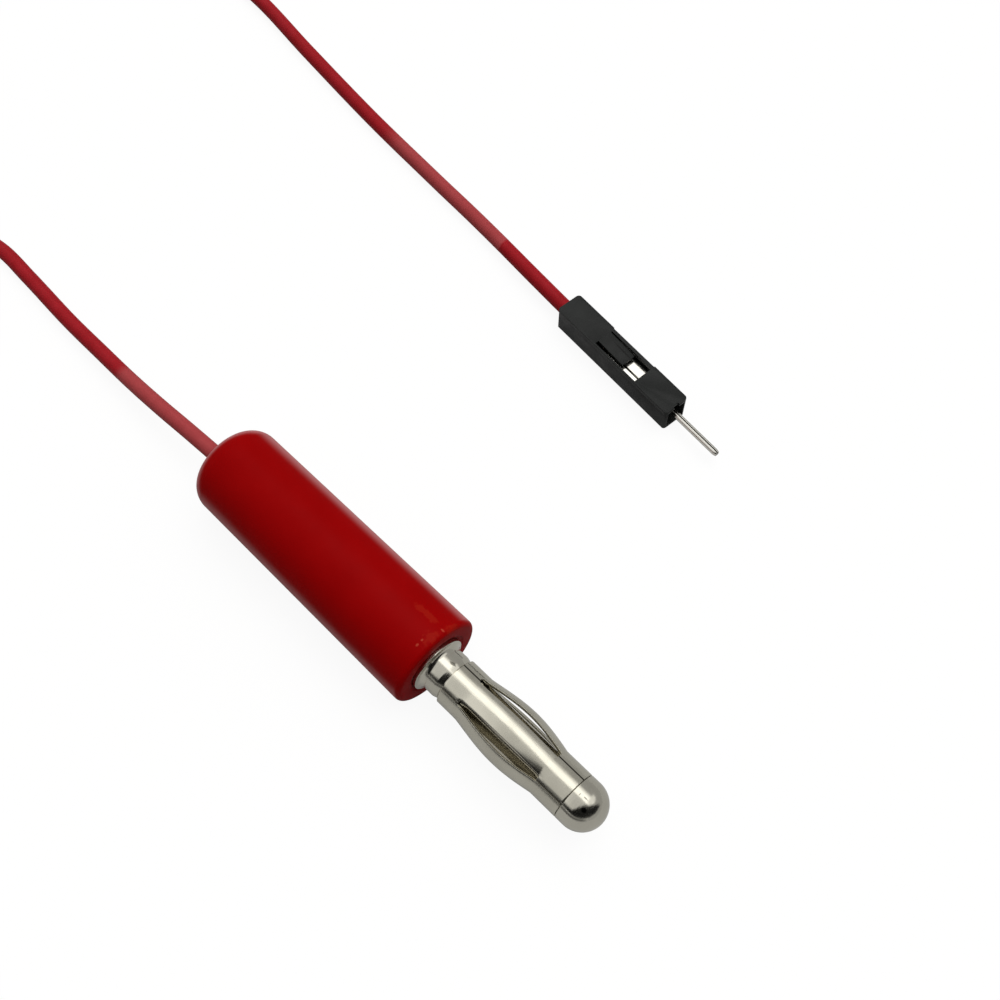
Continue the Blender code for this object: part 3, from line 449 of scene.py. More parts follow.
def coil_tie(finish):
    """A flat strip round the bundle, its two ends twisted together on top."""
    inner_r = COIL_RADIUS - COIL_HALF_WIDTH
    sagitta = inner_r - math.sqrt(inner_r ** 2 - (TIE_WIDTH / 2) ** 2)
    corner = WIRE_RADIUS + CLEARANCE
    right = COIL_HALF_WIDTH + CLEARANCE - corner
    left = corner - COIL_HALF_WIDTH - CLEARANCE - sagitta
    low = COIL_LIFT - CLEARANCE + corner
    high = COIL_LIFT + 2 * WIRE_DIAMETER + CLEARANCE - corner
    loop = arc(right, high, corner, 90, 0, 8) + arc(right, low, corner, 0, -90, 8)
    loop += arc(left, low, corner, -90, -180, 8) + arc(left, high, corner, 180, 90, 8)
    bm = bmesh.new()
    rail = [bm.verts.new((across, -TIE_WIDTH / 2, height)) for across, height in loop]
    edges = [bm.edges.new((rail[index], rail[(index + 1) % len(rail)])) for index in range(len(rail))]
    for index in range(4):
        grown = bmesh.ops.extrude_edge_only(bm, edges=edges)["geom"]
        edges = [item for item in grown if isinstance(item, bmesh.types.BMEdge)
                 and all(vert in grown for vert in item.verts)]
        moved = [item for item in grown if isinstance(item, bmesh.types.BMVert)]
        bmesh.ops.translate(bm, vec=(0.0, TIE_WIDTH / 4, 0.0), verts=moved)
    bmesh.ops.recalc_face_normals(bm, faces=bm.faces)
    top = max(bm.faces, key=lambda face: face.calc_center_median().z)
    if top.normal.z > 0.0:
        bmesh.ops.reverse_faces(bm, faces=bm.faces)
    bmesh.ops.solidify(bm, geom=bm.faces, thickness=TIE_THICKNESS)
    rims = [edge for edge in bm.edges if len(edge.link_faces) == 2 and edge.calc_face_angle() > 1.2]
    round_edges(bm, rims, 0.08 * MM, 2)
    tail_base = high + corner + TIE_THICKNESS + 0.8 * TIE_THICKNESS
    for side in (-1.0, 1.0):
        start = Matrix.Translation((side * 0.8 * TIE_THICKNESS, -0.12 * TIE_TAIL_LENGTH, tail_base))
        start = start @ Matrix.Rotation(math.pi / 2, 4, "X") @ Matrix.Diagonal((0.95, 0.85, 1.0, 1.0))
        wound_rod(bm, start, TIE_THICKNESS, 14, (0.0, 0.0, tail_base), (0.0, 1.0, 0.0),
                  TIE_TAIL_LENGTH, TIE_TAIL_TURNS, 36)
    bmesh.ops.recalc_face_normals(bm, faces=bm.faces)
    place = Matrix.Translation((COIL_CENTRE_X + COIL_RADIUS * math.cos(TIE_ANGLE),
                                COIL_CENTRE_Y + COIL_RADIUS * math.sin(TIE_ANGLE), 0.0))
    bmesh.ops.transform(bm, matrix=place @ Matrix.Rotation(TIE_ANGLE, 4, "Z"), verts=bm.verts)
    made = piece("tie_round_coil", bm, finish, "lead", 45.0)
    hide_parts("coil_tie")
    return made


# Plug
def sleeve(finish):
    """The moulded sleeve, with the seat for the flange in its mouth and the wire's hole behind."""
    front = SLEEVE_FRONT_X
    rear = SLEEVE_REAR_X
    seat_r = FLANGE_RADIUS + CLEARANCE
    bore_r = SHANK_RADIUS + CLEARANCE
    cavity_start = rear + SLEEVE_REAR_WALL
    profile = [(front - SLEEVE_SEAT_DEPTH, seat_r), (front - SLEEVE_SEAT_DEPTH / 2, seat_r)]
    profile += arc(front - 0.06 * MM, seat_r + SLEEVE_MOUTH_CHAMFER, 0.06 * MM, -70, 0, 4)
    profile += arc(front - SLEEVE_FRONT_ROUNDING, SLEEVE_FRONT_RADIUS - SLEEVE_FRONT_ROUNDING,
                   SLEEVE_FRONT_ROUNDING, 0, 90, 10)
    profile += arc(rear + SLEEVE_REAR_ROUNDING, SLEEVE_REAR_RADIUS - SLEEVE_REAR_ROUNDING,
                   SLEEVE_REAR_ROUNDING, 90, 180, 24)
    profile += arc(rear + SLEEVE_HOLE_ROUNDING, SLEEVE_HOLE_RADIUS + SLEEVE_HOLE_ROUNDING,
                   SLEEVE_HOLE_ROUNDING, 180, 270, 8)
    profile += [(cavity_start, SLEEVE_HOLE_RADIUS),
                (cavity_start + SLEEVE_CAVITY_RADIUS - SLEEVE_HOLE_RADIUS, SLEEVE_CAVITY_RADIUS),
                (SHANK_REAR_X, SLEEVE_CAVITY_RADIUS),
                (SHANK_REAR_X + SLEEVE_CAVITY_RADIUS - bore_r, bore_r),
                (front - SLEEVE_SEAT_DEPTH, bore_r)]
    made = piece("sleeve", turned(profile, True, 144), finish, "lead", 40.0)
    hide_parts("plug_sleeve")
    return made


def plug_core(finish):
    """The turned body: rounded tip, two seats and a waist, neck, flange and shank with its cup."""
    front = SLEEVE_FRONT_X
    fillet_end = front + FLANGE_STAND_OUT + FLANGE_FILLET_LENGTH
    neck_end = CAGE_START_X - CLEARANCE
    tip_start = CAGE_END_X + CLEARANCE
    rear_seat_end = CAGE_START_X + CAGE_REAR_RING - CLEARANCE
    front_seat_start = CAGE_END_X - CAGE_FRONT_RING + CLEARANCE
    flange_rear = front - SLEEVE_SEAT_DEPTH + CLEARANCE
    lip_x = fillet_end - FLANGE_FILLET_LENGTH
    profile = arc(TIP_END_X - TIP_RADIUS, 0.0, TIP_RADIUS, 0, 90, 32)
    profile[0] = (TIP_END_X, 0.0)
    profile += arc(tip_start + EDGE_BREAK, TIP_RADIUS - EDGE_BREAK, EDGE_BREAK, 90, 180, 4)
    profile += [(tip_start, SEAT_RADIUS),
                (front_seat_start, SEAT_RADIUS),
                (front_seat_start - SEAT_TAPER_LENGTH, WAIST_RADIUS),
                (rear_seat_end + SEAT_TAPER_LENGTH, WAIST_RADIUS),
                (rear_seat_end, SEAT_RADIUS),
                (neck_end, SEAT_RADIUS)]
    for index in range(13):
        share = 1.0 - index / 12
        profile.append((neck_end - NECK_TAPER_LENGTH * (1.0 - share),
                        NECK_RADIUS - NECK_TAPER * share ** 1.2))
    for index in range(17):
        turn = math.radians(90 * index / 16)
        profile.append((fillet_end - FLANGE_FILLET_LENGTH * math.sin(turn),
                        FLANGE_RADIUS - LIP_ROUNDING
                        - (FLANGE_RADIUS - LIP_ROUNDING - NECK_RADIUS) * math.cos(turn)))
    profile += arc(lip_x - LIP_ROUNDING, FLANGE_RADIUS - LIP_ROUNDING, LIP_ROUNDING, 20, 90, 4)
    profile += [(flange_rear, FLANGE_RADIUS),
                (flange_rear, SHANK_RADIUS),
                (SHANK_REAR_X, SHANK_RADIUS),
                (SHANK_REAR_X, SOLDER_CUP_RADIUS),
                (SHANK_REAR_X + SOLDER_CUP_DEPTH, SOLDER_CUP_RADIUS),
                (SHANK_REAR_X + SOLDER_CUP_DEPTH, 0.0)]
    made = piece("plug_core", turned(profile, False, 128), finish, "lead", 30.0)
    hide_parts("plug_body")
    return made


def solder(finish):
    """The set solder round the strands, with a hollow face where it stopped."""
    inner_r = 3 * STRAND_RADIUS + 0.01 * MM
    outer_r = SOLDER_CUP_RADIUS - CLEARANCE
    rear = SHANK_REAR_X
    profile = [(rear + SOLDER_CUP_DEPTH - CLEARANCE, inner_r),
               (rear + SOLDER_CUP_DEPTH - CLEARANCE, outer_r)]
    for index in range(13):
        turn = math.radians(90 * index / 12)
        profile.append((rear - SOLDER_FILLET_LENGTH * (1.0 - math.cos(turn)),
                        outer_r - (outer_r - inner_r) * math.sin(turn)))
    made = piece("solder", turned(profile, True, 48), finish, "lead", 50.0)
    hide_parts("solder_fillet")
    return made


def leaf_shift(along):
    """How far a leaf stands out at a place along the cage: nought at both rings."""
    share = (along - CAGE_REAR_RING) / CAGE_LEAF_LENGTH
    if share <= 0.0 or share >= 1.0:
        return 0.0
    return CAGE_BULGE * math.sin(math.pi * share ** 1.1)


def cage_columns(leaf_columns, slot_shares):
    """Columns of the blank: (angle, leaf or slot number, place across a slot or None)."""
    pitch = FULL_TURN / CAGE_LEAVES
    half_slot = CAGE_SLOT_WIDTH / 2 / CAGE_RADIUS
    half_seam = CAGE_SEAM_GAP / 2 / CAGE_RADIUS / half_slot
    before_seam = [share for share in slot_shares if share < CAGE_SEAM_SHARE - half_seam]
    before_seam.append(CAGE_SEAM_SHARE - half_seam)
    after_seam = [CAGE_SEAM_SHARE + half_seam]
    after_seam += [share for share in slot_shares if share > CAGE_SEAM_SHARE + half_seam]
    columns = [(CAGE_SEAM_ANGLE + share * half_slot, 0, share) for share in after_seam]
    for leaf in range(CAGE_LEAVES):
        start = CAGE_SEAM_ANGLE + leaf * pitch + half_slot
        end = CAGE_SEAM_ANGLE + (leaf + 1) * pitch - half_slot
        for index in range(1, leaf_columns):
            columns.append((start + (end - start) * index / leaf_columns, leaf, None))
        for share in slot_shares if leaf < CAGE_LEAVES - 1 else before_seam:
            columns.append((end + half_slot + share * half_slot, leaf + 1, share))
    return columns


def spring_cage(finish):
    """One flat blank, slotted, bowed and rolled: its two ends meet at the seam beside one slot."""
    crease_half = 0.18
    slot_shares = [math.sin(math.radians(-90 + 180 * index / 10)) for index in range(5)]
    slot_shares += [0.0, 0.18, CAGE_SEAM_SHARE - crease_half, CAGE_SEAM_SHARE,
                    CAGE_SEAM_SHARE + crease_half, 0.85, 0.955, 1.0]
    columns = cage_columns(14, slot_shares)
    rings = (0.0, 0.04, 0.3, 0.6, 0.84)
    rows = [share * CAGE_REAR_RING for share in rings] + [CAGE_REAR_RING]
    last_rear_row = len(rows) - 1
    leaf_end = CAGE_REAR_RING + CAGE_LEAF_LENGTH
    rows += even_rows(CAGE_REAR_RING, leaf_end, 44)[1:]
    first_front_row = len(rows)
    rows += [leaf_end] + [leaf_end + (1.0 - share) * CAGE_FRONT_RING for share in reversed(rings)]

    bm, grid = sheet_grid(len(rows), len(columns))
    for row, along in enumerate(rows):
        bowed = last_rear_row < row < first_front_row
        for column, (angle, leaf, share) in enumerate(columns):
            owner = leaf if share is None or share > 0.0 else leaf - 1
            leaf_angle = CAGE_SEAM_ANGLE + (owner + 0.5) * FULL_TURN / CAGE_LEAVES
            place = along
            crease = 0.0
            if row < 2:
                place += CAGE_REAR_SLANT * (1.0 + math.cos(angle - CAGE_SLANT_ANGLE)) / 2
            if share is not None:
                if row in (last_rear_row, last_rear_row - 1):
                    place -= math.sqrt(max(0.0, 1.0 - share ** 2)) * CAGE_SLOT_WIDTH / 2
                if share == CAGE_SEAM_SHARE and not bowed:
                    crease = CAGE_CREASE_DEPTH
            radius = CAGE_RADIUS - crease
            shift = leaf_shift(along) if bowed else 0.0
            across = radius * math.sin(angle) + shift * math.sin(leaf_angle)
            up = -radius * math.cos(angle) - shift * math.cos(leaf_angle)
            grid[row][column].co = (CAGE_START_X + place, across, AXIS_HEIGHT + up)
    shares = [share for angle, leaf, share in columns]
    in_slot = []
    for row in range(last_rear_row, first_front_row):
        for column, (start, end) in enumerate(zip(shares, shares[1:])):
            if start is not None and end is not None and end > start:
                corners = {grid[row][column], grid[row][column + 1],
                           grid[row + 1][column], grid[row + 1][column + 1]}
                in_slot += [face for face in grid[row][column].link_faces
                            if set(face.verts) == corners]
    bmesh.ops.delete(bm, geom=in_slot, context="FACES")
    bmesh.ops.recalc_face_normals(bm, faces=bm.faces)
    first = grid[0][9]
    outwards = Vector((0.0, first.co.y, first.co.z - AXIS_HEIGHT))
    if first.link_faces[0].normal.dot(outwards) < 0.0:
        bmesh.ops.reverse_faces(bm, faces=bm.faces)
    made = piece("lantern_cage", bm, finish, "cage", 35.0)
    thicken(made, CAGE_SHEET, True)
    soften_rims(made, 0.03 * MM)
    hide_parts("spring_cage")
    return made


# Pin housing and contact, modelled along X and then put in place
def block(low, high):
    bm = bmesh.new()
    bmesh.ops.create_cube(bm, size=1.0)
    bmesh.ops.scale(bm, vec=Vector(high) - Vector(low), verts=bm.verts)
    bmesh.ops.translate(bm, vec=(Vector(high) + Vector(low)) / 2, verts=bm.verts)
    return bm


def box_cutter(name, low, high, turn=None):
    bm = block(low, high)
    if turn is not None:
        bmesh.ops.transform(bm, matrix=turn, verts=bm.verts)
    return linked(name, mesh_of(name, bm))


def cut_away(made, cutters):
    """Cuts each cutter out of a piece and takes the cutters away."""
    for cutter in cutters:
        cut = made.modifiers.new(cutter.name, "BOOLEAN")
        cut.operation = "DIFFERENCE"
        cut.object = cutter
        cut.solver = "EXACT"
    evaluated = made.evaluated_get(bpy.context.evaluated_depsgraph_get())
    shaped = bpy.data.meshes.new_from_object(evaluated)
    made.modifiers.clear()
    made.data = shaped
    for cutter in cutters:
        bpy.data.objects.remove(cutter, do_unlink=True)


def housing_cutters():
    half = HOUSING_PITCH / 2
    past = 0.5 * MM
    cavity = HOUSING_CAVITY / 2
    latch_end = LATCH_START + LATCH_LENGTH
    window_end = latch_end + WINDOW_LENGTH
    latch = LATCH_WIDTH / 2
    near = -latch - LATCH_NEAR_SLOT
    far = latch + LATCH_FAR_SLOT
    over = HOUSING_PITCH + past
    step = half - HOUSING_SIDE_STEP
    end = HOUSING_LENGTH + past
    step_top = HOUSING_SIDE_STEP_HEIGHT
    cuts = {
        "cavity": ((-past, -cavity, half - cavity), (end, cavity, half + cavity)),
        "latch_slot_far": ((LATCH_START, latch, half), (latch_end + past, far, over)),
        "latch_slot_near": ((LATCH_START, near, half), (latch_end + past, -latch, over)),
        "window": ((latch_end, near, half), (window_end, far, over)),
        "front_notch": ((HOUSING_LENGTH - FRONT_NOTCH_DEPTH, -FRONT_NOTCH_WIDTH / 2, half),
                        (end, FRONT_NOTCH_WIDTH / 2, over)),
        "side_step_left": ((-past, step, -past), (end, half + past, step_top)),
        "side_step_right": ((-past, -half - past, -past), (end, -step, step_top)),
        "latch_wall_step": ((LATCH_START - LATCH_FAR_SLOT, half - LATCH_WALL_STEP, half),
                            (window_end, half + past, over)),
    }
    cutters = [box_cutter(name, low, high) for name, (low, high) in cuts.items()]
    sink = Matrix.Translation((LATCH_START, 0.0, HOUSING_PITCH))
    sink = sink @ Matrix.Rotation(math.asin(LATCH_SINK / LATCH_LENGTH), 4, "Y")
    side = latch + past / 8
    cutters.append(box_cutter("latch_sink", (0.0, -side, 0.0), (LATCH_LENGTH + past, side, past), sink))
    return cutters


def pin_housing(finish):
    """The moulded housing with its latch tongue, window, front notch and stepped sides."""
    bm = block((0.0, -HOUSING_PITCH / 2, 0.0), (HOUSING_LENGTH, HOUSING_PITCH / 2, HOUSING_PITCH))
    upright = [edge for edge in bm.edges
               if abs(edge.verts[0].co.z - edge.verts[1].co.z) > HOUSING_PITCH / 2]
    round_edges(bm, upright, HOUSING_CORNER, 6)
    long_edges = [edge for edge in bm.edges
                  if abs(edge.verts[0].co.x - edge.verts[1].co.x) > HOUSING_LENGTH / 2]
    round_edges(bm, long_edges, HOUSING_EDGE, 4)
    made = piece("single_pin_housing", bm, finish, "lead")
    cut_away(made, housing_cutters())
    bm = bmesh.new()
    bm.from_mesh(made.data)
    bmesh.ops.remove_doubles(bm, verts=bm.verts, dist=0.001 * MM)
    bmesh.ops.dissolve_limit(bm, angle_limit=math.radians(1.0), verts=bm.verts, edges=bm.edges)
    rims = [edge for edge in bm.edges if len(edge.link_faces) == 2
            and edge.calc_face_angle() > math.radians(40.0)]
    round_edges(bm, rims, HOUSING_RIM, 2, clamp=True)
    bmesh.ops.recalc_face_normals(bm, faces=bm.faces)
    bmesh.ops.transform(bm, matrix=HOUSING_PLACE, verts=bm.verts)
    bm.to_mesh(made.data)
    bm.free()
    made.data.shade_smooth()
    made.data.set_sharp_from_angle(angle=math.radians(50.0))
    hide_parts("pin_housing")
    return made


def contact_sections():
    """Sections along the contact: place, half width, half height, squareness, half gap, seam angle."""
    crimp_r = WIRE_RADIUS + CLEARANCE + CONTACT_SHEET
    core_r = 3 * STRAND_RADIUS + CLEARANCE + CONTACT_SHEET
    box_w = CONTACT_BOX_WIDTH / 2
    box_h = CONTACT_BOX_HEIGHT / 2
    pin = PIN_SIZE / 2
    tip = PIN_TIP_SIZE / 2
    pin_start = CONTACT_BOX_END + CONTACT_SHOULDER_LENGTH
    pin_end = HOUSING_LENGTH + PIN_REACH
    ear = 0.1 * MM
    ear_open = math.radians(14)
    trough_open = math.radians(100)
    box_seam = CONTACT_SEAM / 2 / box_h
    pin_seam = 0.65 * CONTACT_SEAM / pin
    aside = math.atan2(CONTACT_SEAM_OFFSET, box_h)
    insulation_crimp = (crimp_r, crimp_r, ROUND, ear_open, 0.0)
    conductor_crimp = (core_r, core_r, ROUND, ear_open, 0.0)
    core_trough = (core_r, core_r, ROUND, trough_open, 0.0)
    box = (box_w, box_h, BOX_SQUARENESS, box_seam, aside)
    sections = [(place, *insulation_crimp)
                for place in even_rows(INSULATION_CRIMP_START, INSULATION_CRIMP_END - ear, 6)]
    sections += [(INSULATION_CRIMP_END - ear, *insulation_crimp),
                 (INSULATION_CRIMP_END, crimp_r, crimp_r, ROUND, trough_open, 0.0),
                 (CONDUCTOR_CRIMP_START - ear, *core_trough)]
    sections += [(place, *conductor_crimp)
                 for place in even_rows(CONDUCTOR_CRIMP_START, CONDUCTOR_CRIMP_END - ear, 6)]
    sections += [(CONDUCTOR_CRIMP_END - ear, *conductor_crimp),
                 (CONDUCTOR_CRIMP_END, *core_trough),
                 (CONTACT_BOX_START - ear, box_w, box_h, BOX_SQUARENESS, trough_open, 0.0)]
    sections += [(place, *box) for place in even_rows(CONTACT_BOX_START, CONTACT_BOX_END, 12)]
    sections += [(CONTACT_BOX_END, *box)]
    sections += [(place, pin, pin, PIN_SQUARENESS, pin_seam, 0.0)
                 for place in even_rows(pin_start, pin_end - PIN_TAPER_LENGTH, 24)]
    for index in range(7):
        share = math.sin(math.radians(90 * index / 6))
        fall = 1.0 - math.cos(math.radians(90 * index / 6))
        half = pin + (tip - pin) * fall
        place = pin_end - PIN_TAPER_LENGTH * (1.0 - share)
        sections.append((place, half, half, PIN_SQUARENESS, pin_seam, 0.0))
    return sections


def pin_contact(finish):
    """One stamped blank, folded: crimp ears, box and pin, with a seam along its top."""
    sections = contact_sections()
    sides = 64
    bm, grid = sheet_grid(len(sections), sides + 1)
    for row, (along, half_w, half_h, square, gap, aside) in enumerate(sections):
        for side in range(sides + 1):
            angle = aside + gap + (FULL_TURN - 2 * gap) * side / sides
            across = math.sin(angle)
            up = math.cos(angle)
            reach = (abs(across / half_w) ** square + abs(up / half_h) ** square) ** (-1.0 / square)
            grid[row][side].co = (along, reach * across, CONTACT_AXIS_HEIGHT + reach * up)
    bmesh.ops.recalc_face_normals(bm, faces=bm.faces)
    under = grid[0][sides // 2]
    if under.link_faces[0].normal.z > 0.0:
        bmesh.ops.reverse_faces(bm, faces=bm.faces)
    bmesh.ops.transform(bm, matrix=HOUSING_PLACE, verts=bm.verts)
    made = piece("pin_and_crimp", bm, finish, "lead", 45.0)
    thicken(made, CONTACT_SHEET, False)
    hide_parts("pin_contact")
    return made


# Node helpers
def add(tree, kind, inputs=None, **settings):
    """Adds a node with its settings, and fills or links its inputs."""
    made = tree.nodes.new(kind)
    for name, value in settings.items():
        setattr(made, name, value)
    for name, value in (inputs or {}).items():
        if isinstance(value, bpy.types.NodeSocket):
            tree.links.new(value, made.inputs[name])
        else:
            made.inputs[name].default_value = value
    return made


def calc(tree, operation, first, second=0.0):
    return add(tree, "ShaderNodeMath", {0: first, 1: second}, operation=operation).outputs[0]


def product(tree, first, second):
    return calc(tree, "MULTIPLY", first, second)


def vector_calc(tree, operation, first, second, output="Vector"):
    return add(tree, "ShaderNodeVectorMath", {0: first, 1: second}, operation=operation).outputs[output]


def slope(tree, value, start, end, low=0.0, high=1.0, step="LINEAR"):
    """A straight step of a value between start and end."""
    inputs = {"Value": value, "From Min": start, "From Max": end, "To Min": low, "To Max": high}
    return add(tree, "ShaderNodeMapRange", inputs, interpolation_type=step).outputs[0]


def ramp(tree, value, start, end, low=0.0, high=1.0):
    """A soft step of a value between start and end."""
    return slope(tree, value, start, end, low, high, "SMOOTHSTEP")


def blend(tree, mask, first, second):
    """A number that goes from the first to the second where the mask is 1."""
    return add(tree, "ShaderNodeMix", {0: mask, 2: first, 3: second}).outputs[0]


def between(tree, value, start, full, still, end):
    """A mask that rises from start to full and falls from still to end."""
    return product(tree, ramp(tree, value, start, full), ramp(tree, value, still, end, 1.0, 0.0))


def mix_colour(tree, mask, *colours):
    """A colour that goes from the first to the second where the mask is 1."""
    first, second = [colour if isinstance(colour, bpy.types.NodeSocket) else (*colour, 1.0)
                     for colour in colours]
    return add(tree, "ShaderNodeMix", {0: mask, 6: first, 7: second}, data_type="RGBA",
               clamp_factor=True).outputs[2]


# Effects: every underscore in an input's name stands for a space
def effect(name, output, **inputs):
    """A new node group that takes a Vector and named inputs, and gives one value."""
    group = bpy.data.node_groups.new(name, "ShaderNodeTree")
    group.interface.new_socket("Vector", in_out="INPUT", socket_type="NodeSocketVector")
    for label, value in inputs.items():
        kind = "Vector" if isinstance(value, tuple) else "Float"
        socket = group.interface.new_socket(label.replace("_", " "), in_out="INPUT",
                                            socket_type="NodeSocket" + kind)
        socket.default_value = value
    group.interface.new_socket(output, in_out="OUTPUT", socket_type="NodeSocketFloat")
    given = group.nodes.new("NodeGroupInput").outputs
    return group, given, group.nodes.new("NodeGroupOutput").inputs[output]


def noise(tree, place, scale, detail, roughness=0.5):
    inputs = {"Vector": place, "Scale": scale, "Detail": detail, "Roughness": roughness}
    return add(tree, "ShaderNodeTexNoise", inputs).outputs[0]


def mottle_effect():
    """Soft cloudy variation between a low and a high value."""
    group, given, wanted = effect("mottle", "Value", Scale=400.0, Low=0.0, High=1.0)
    cloud = noise(group, given["Vector"], given["Scale"], 4.0, 0.55)
    group.links.new(slope(group, cloud, 0.3, 0.7, given["Low"], given["High"]), wanted)
    return group


def streak_effect():
    """Thin hairlines along one direction, where a stretched noise passes a threshold."""
    group, given, wanted = effect("hairlines", "Mask", Stretch=(1.0, 12.0, 12.0), Scale=500.0,
                                  Start=0.6, End=0.75)
    stretched = vector_calc(group, "MULTIPLY", given["Vector"], given["Stretch"])
    line = noise(group, stretched, given["Scale"], 3.0, 0.6)
    group.links.new(ramp(group, line, given["Start"], given["End"]), wanted)
    return group


def mark_effect():
    """One soft-edged mark at a place on the surface."""
    group, given, wanted = effect("mark", "Mask", Centre=(0.0, 0.0, 0.0), Size=(1.0, 1.0, 1.0),
                                  Ragged=0.25)
    away = vector_calc(group, "SUBTRACT", given["Vector"], given["Centre"])
    sized = vector_calc(group, "DIVIDE", away, given["Size"])
    reach = vector_calc(group, "LENGTH", sized, (0.0, 0.0, 0.0), "Value")
    cloud = noise(group, given["Vector"], 2500.0, 3.0)
    rough = product(group, calc(group, "SUBTRACT", cloud, 0.5), given["Ragged"])
    edge = calc(group, "ADD", reach, product(group, rough, 4.0))
    group.links.new(ramp(group, edge, 0.55, 1.0, 1.0, 0.0), wanted)
    return group


def grain_effect():
    """The height of a moulded or plated skin: fine grain over a slow waviness."""
    group, given, wanted = effect("skin", "Height", Fine_Scale=3000.0, Broad_Scale=300.0,
                                  Broad_Share=0.6)
    fine = noise(group, given["Vector"], given["Fine Scale"], 4.0)
    broad = noise(group, given["Vector"], given["Broad Scale"], 2.0)
    group.links.new(blend(group, given["Broad Share"], fine, broad), wanted)
    return group


MOTTLE = mottle_effect()
HAIRLINES = streak_effect()
MARK = mark_effect()
SKIN = grain_effect()


class Finish:
    """One material: its shader, its Object coordinates, and the effects placed in it."""

    def __init__(self, name, roughness, metallic=0.0, specular=0.5):
        self.material = bpy.data.materials.new(name)
        self.material.use_nodes = True
        self.tree = self.material.node_tree
        self.shader = self.tree.nodes["Principled BSDF"]
        self.shader.inputs["Roughness"].default_value = roughness
        self.shader.inputs["Metallic"].default_value = metallic
        self.shader.inputs["Specular IOR Level"].default_value = specular
        self.place = add(self.tree, "ShaderNodeTexCoord").outputs["Object"]

    def measure_from_housing(self):
        """Measures from the housing's rear end, along the housing."""
        inputs = {"Vector": self.place, "Location": (HOUSING_X, HOUSING_Y, 0.0),
                  "Rotation": (0.0, 0.0, HOUSING_TURN)}
        self.place = add(self.tree, "ShaderNodeMapping", inputs, vector_type="TEXTURE").outputs[0]

    def use(self, group, **inputs):
        made = self.tree.nodes.new("ShaderNodeGroup")
        made.node_tree = group
        self.tree.links.new(self.place, made.inputs["Vector"])
        for name, value in inputs.items():
            made.inputs[name.replace("_", " ")].default_value = value
        return made.outputs[0]

    def axis(self, index):
        return add(self.tree, "ShaderNodeSeparateXYZ", {0: self.place}).outputs[index]

    def feed(self, socket, value):
        self.tree.links.new(value, self.shader.inputs[socket])

    def mottled(self, scale, first, second):
        """A colour that drifts softly between two."""
        return mix_colour(self.tree, self.use(MOTTLE, Scale=scale), first, second)

    def marks_and_painted_light(self, colour, spot_colour, ragged, *spots):
        """The colour with small soft spots in it, each (centre, size) in mm: scratches and specks, and
        in places painted shade or sheen.
        """
        for centre, size in spots:
            mask = self.use(MARK, Centre=[number * MM for number in centre],
                            Size=[number * MM for number in size], Ragged=ragged)
            colour = mix_colour(self.tree, mask, colour, spot_colour)
        return colour

    def rough(self, scale, low, high):
        """Roughness that drifts softly between two values."""
        self.feed("Roughness", self.use(MOTTLE, Scale=scale, Low=low, High=high))

    def bump(self, height, depth):
        inputs = {"Height": height, "Distance": depth, "Strength": 1.0}
        self.feed("Normal", add(self.tree, "ShaderNodeBump", inputs).outputs[0])

    def grain(self, fine, broad, share, depth):
        self.bump(self.use(SKIN, Fine_Scale=fine, Broad_Scale=broad, Broad_Share=share), depth)


# Finishes
def sleeve_red():
    made = Finish("sleeve_red", 0.4, specular=0.02)
    tree = made.tree
    colour = made.mottled(260.0, (0.25, 0.0004, 0.0008), (0.275, 0.0008, 0.0012))
    # Painted sheen: a pale pinkish colour is mixed into the base colour where the sleeve's side is seen
    # at a grazing angle, short of its front edge.
    grazing = add(tree, "ShaderNodeLayerWeight", {"Blend": 0.5}).outputs["Facing"]
    side = ramp(tree, made.axis(0), SLEEVE_FRONT_X - 0.5 * MM, SLEEVE_FRONT_X - 0.1 * MM, 1.0, 0.0)
    painted_sheen = product(tree, side, ramp(tree, grazing, 0.48, 0.82))
    colour = mix_colour(tree, painted_sheen, colour, (0.45, 0.15, 0.155))
    # Painted sheen: lighter patches at the mouth and a lighter streak along the top. The small pale
    # specks after them are wear.
    colour = made.marks_and_painted_light(colour, (0.29, 0.006, 0.003), 0.6, ((3.3, 0.15, 7.98), (0.6, 0.7, 0.5)),
                        ((3.75, 1.9, 7.4), (0.4, 0.8, 0.6)), ((1.5, 1.3, 7.8), (1.6, 0.3, 0.5)))
    colour = made.marks_and_painted_light(colour, (0.36, 0.035, 0.02), 0.6, ((3.05, -0.42, 7.96), (0.1, 0.16, 0.3)),
                        ((3.07, -0.9, 7.88), (0.1, 0.14, 0.3)), ((3.55, 1.2, 7.75), (0.2, 0.08, 0.3)))
    made.feed("Base Color", colour)
    made.rough(500.0, 0.36, 0.5)
    made.grain(2600.0, 260.0, 0.75, 0.03 * MM)
    return made.material


def wire_red():
    """Red insulation, with one faded stretch on each run."""
    made = Finish("wire_red", 0.5, specular=0.1)
    tree = made.tree
    x = made.axis(0)
    clean = made.mottled(700.0, (0.275, 0.0045, 0.0085), (0.315, 0.0075, 0.014))
    chalky = made.mottled(900.0, (0.335, 0.042, 0.046), (0.355, 0.05, 0.054))
    plug_side = ramp(tree, x, -35.6 * MM, -34.4 * MM)
    pin_side = between(tree, x, -40.5 * MM, -37.0 * MM, -22.15 * MM, -21.9 * MM)
    on_pin_side = ramp(tree, made.axis(1), 14.9 * MM, 15.1 * MM)
    faded = blend(tree, on_pin_side, plug_side, pin_side)
    made.feed("Base Color", mix_colour(tree, faded, clean, chalky))
    made.rough(600.0, 0.42, 0.58)
    made.grain(3000.0, 500.0, 0.6, 0.02 * MM)
    return made.material


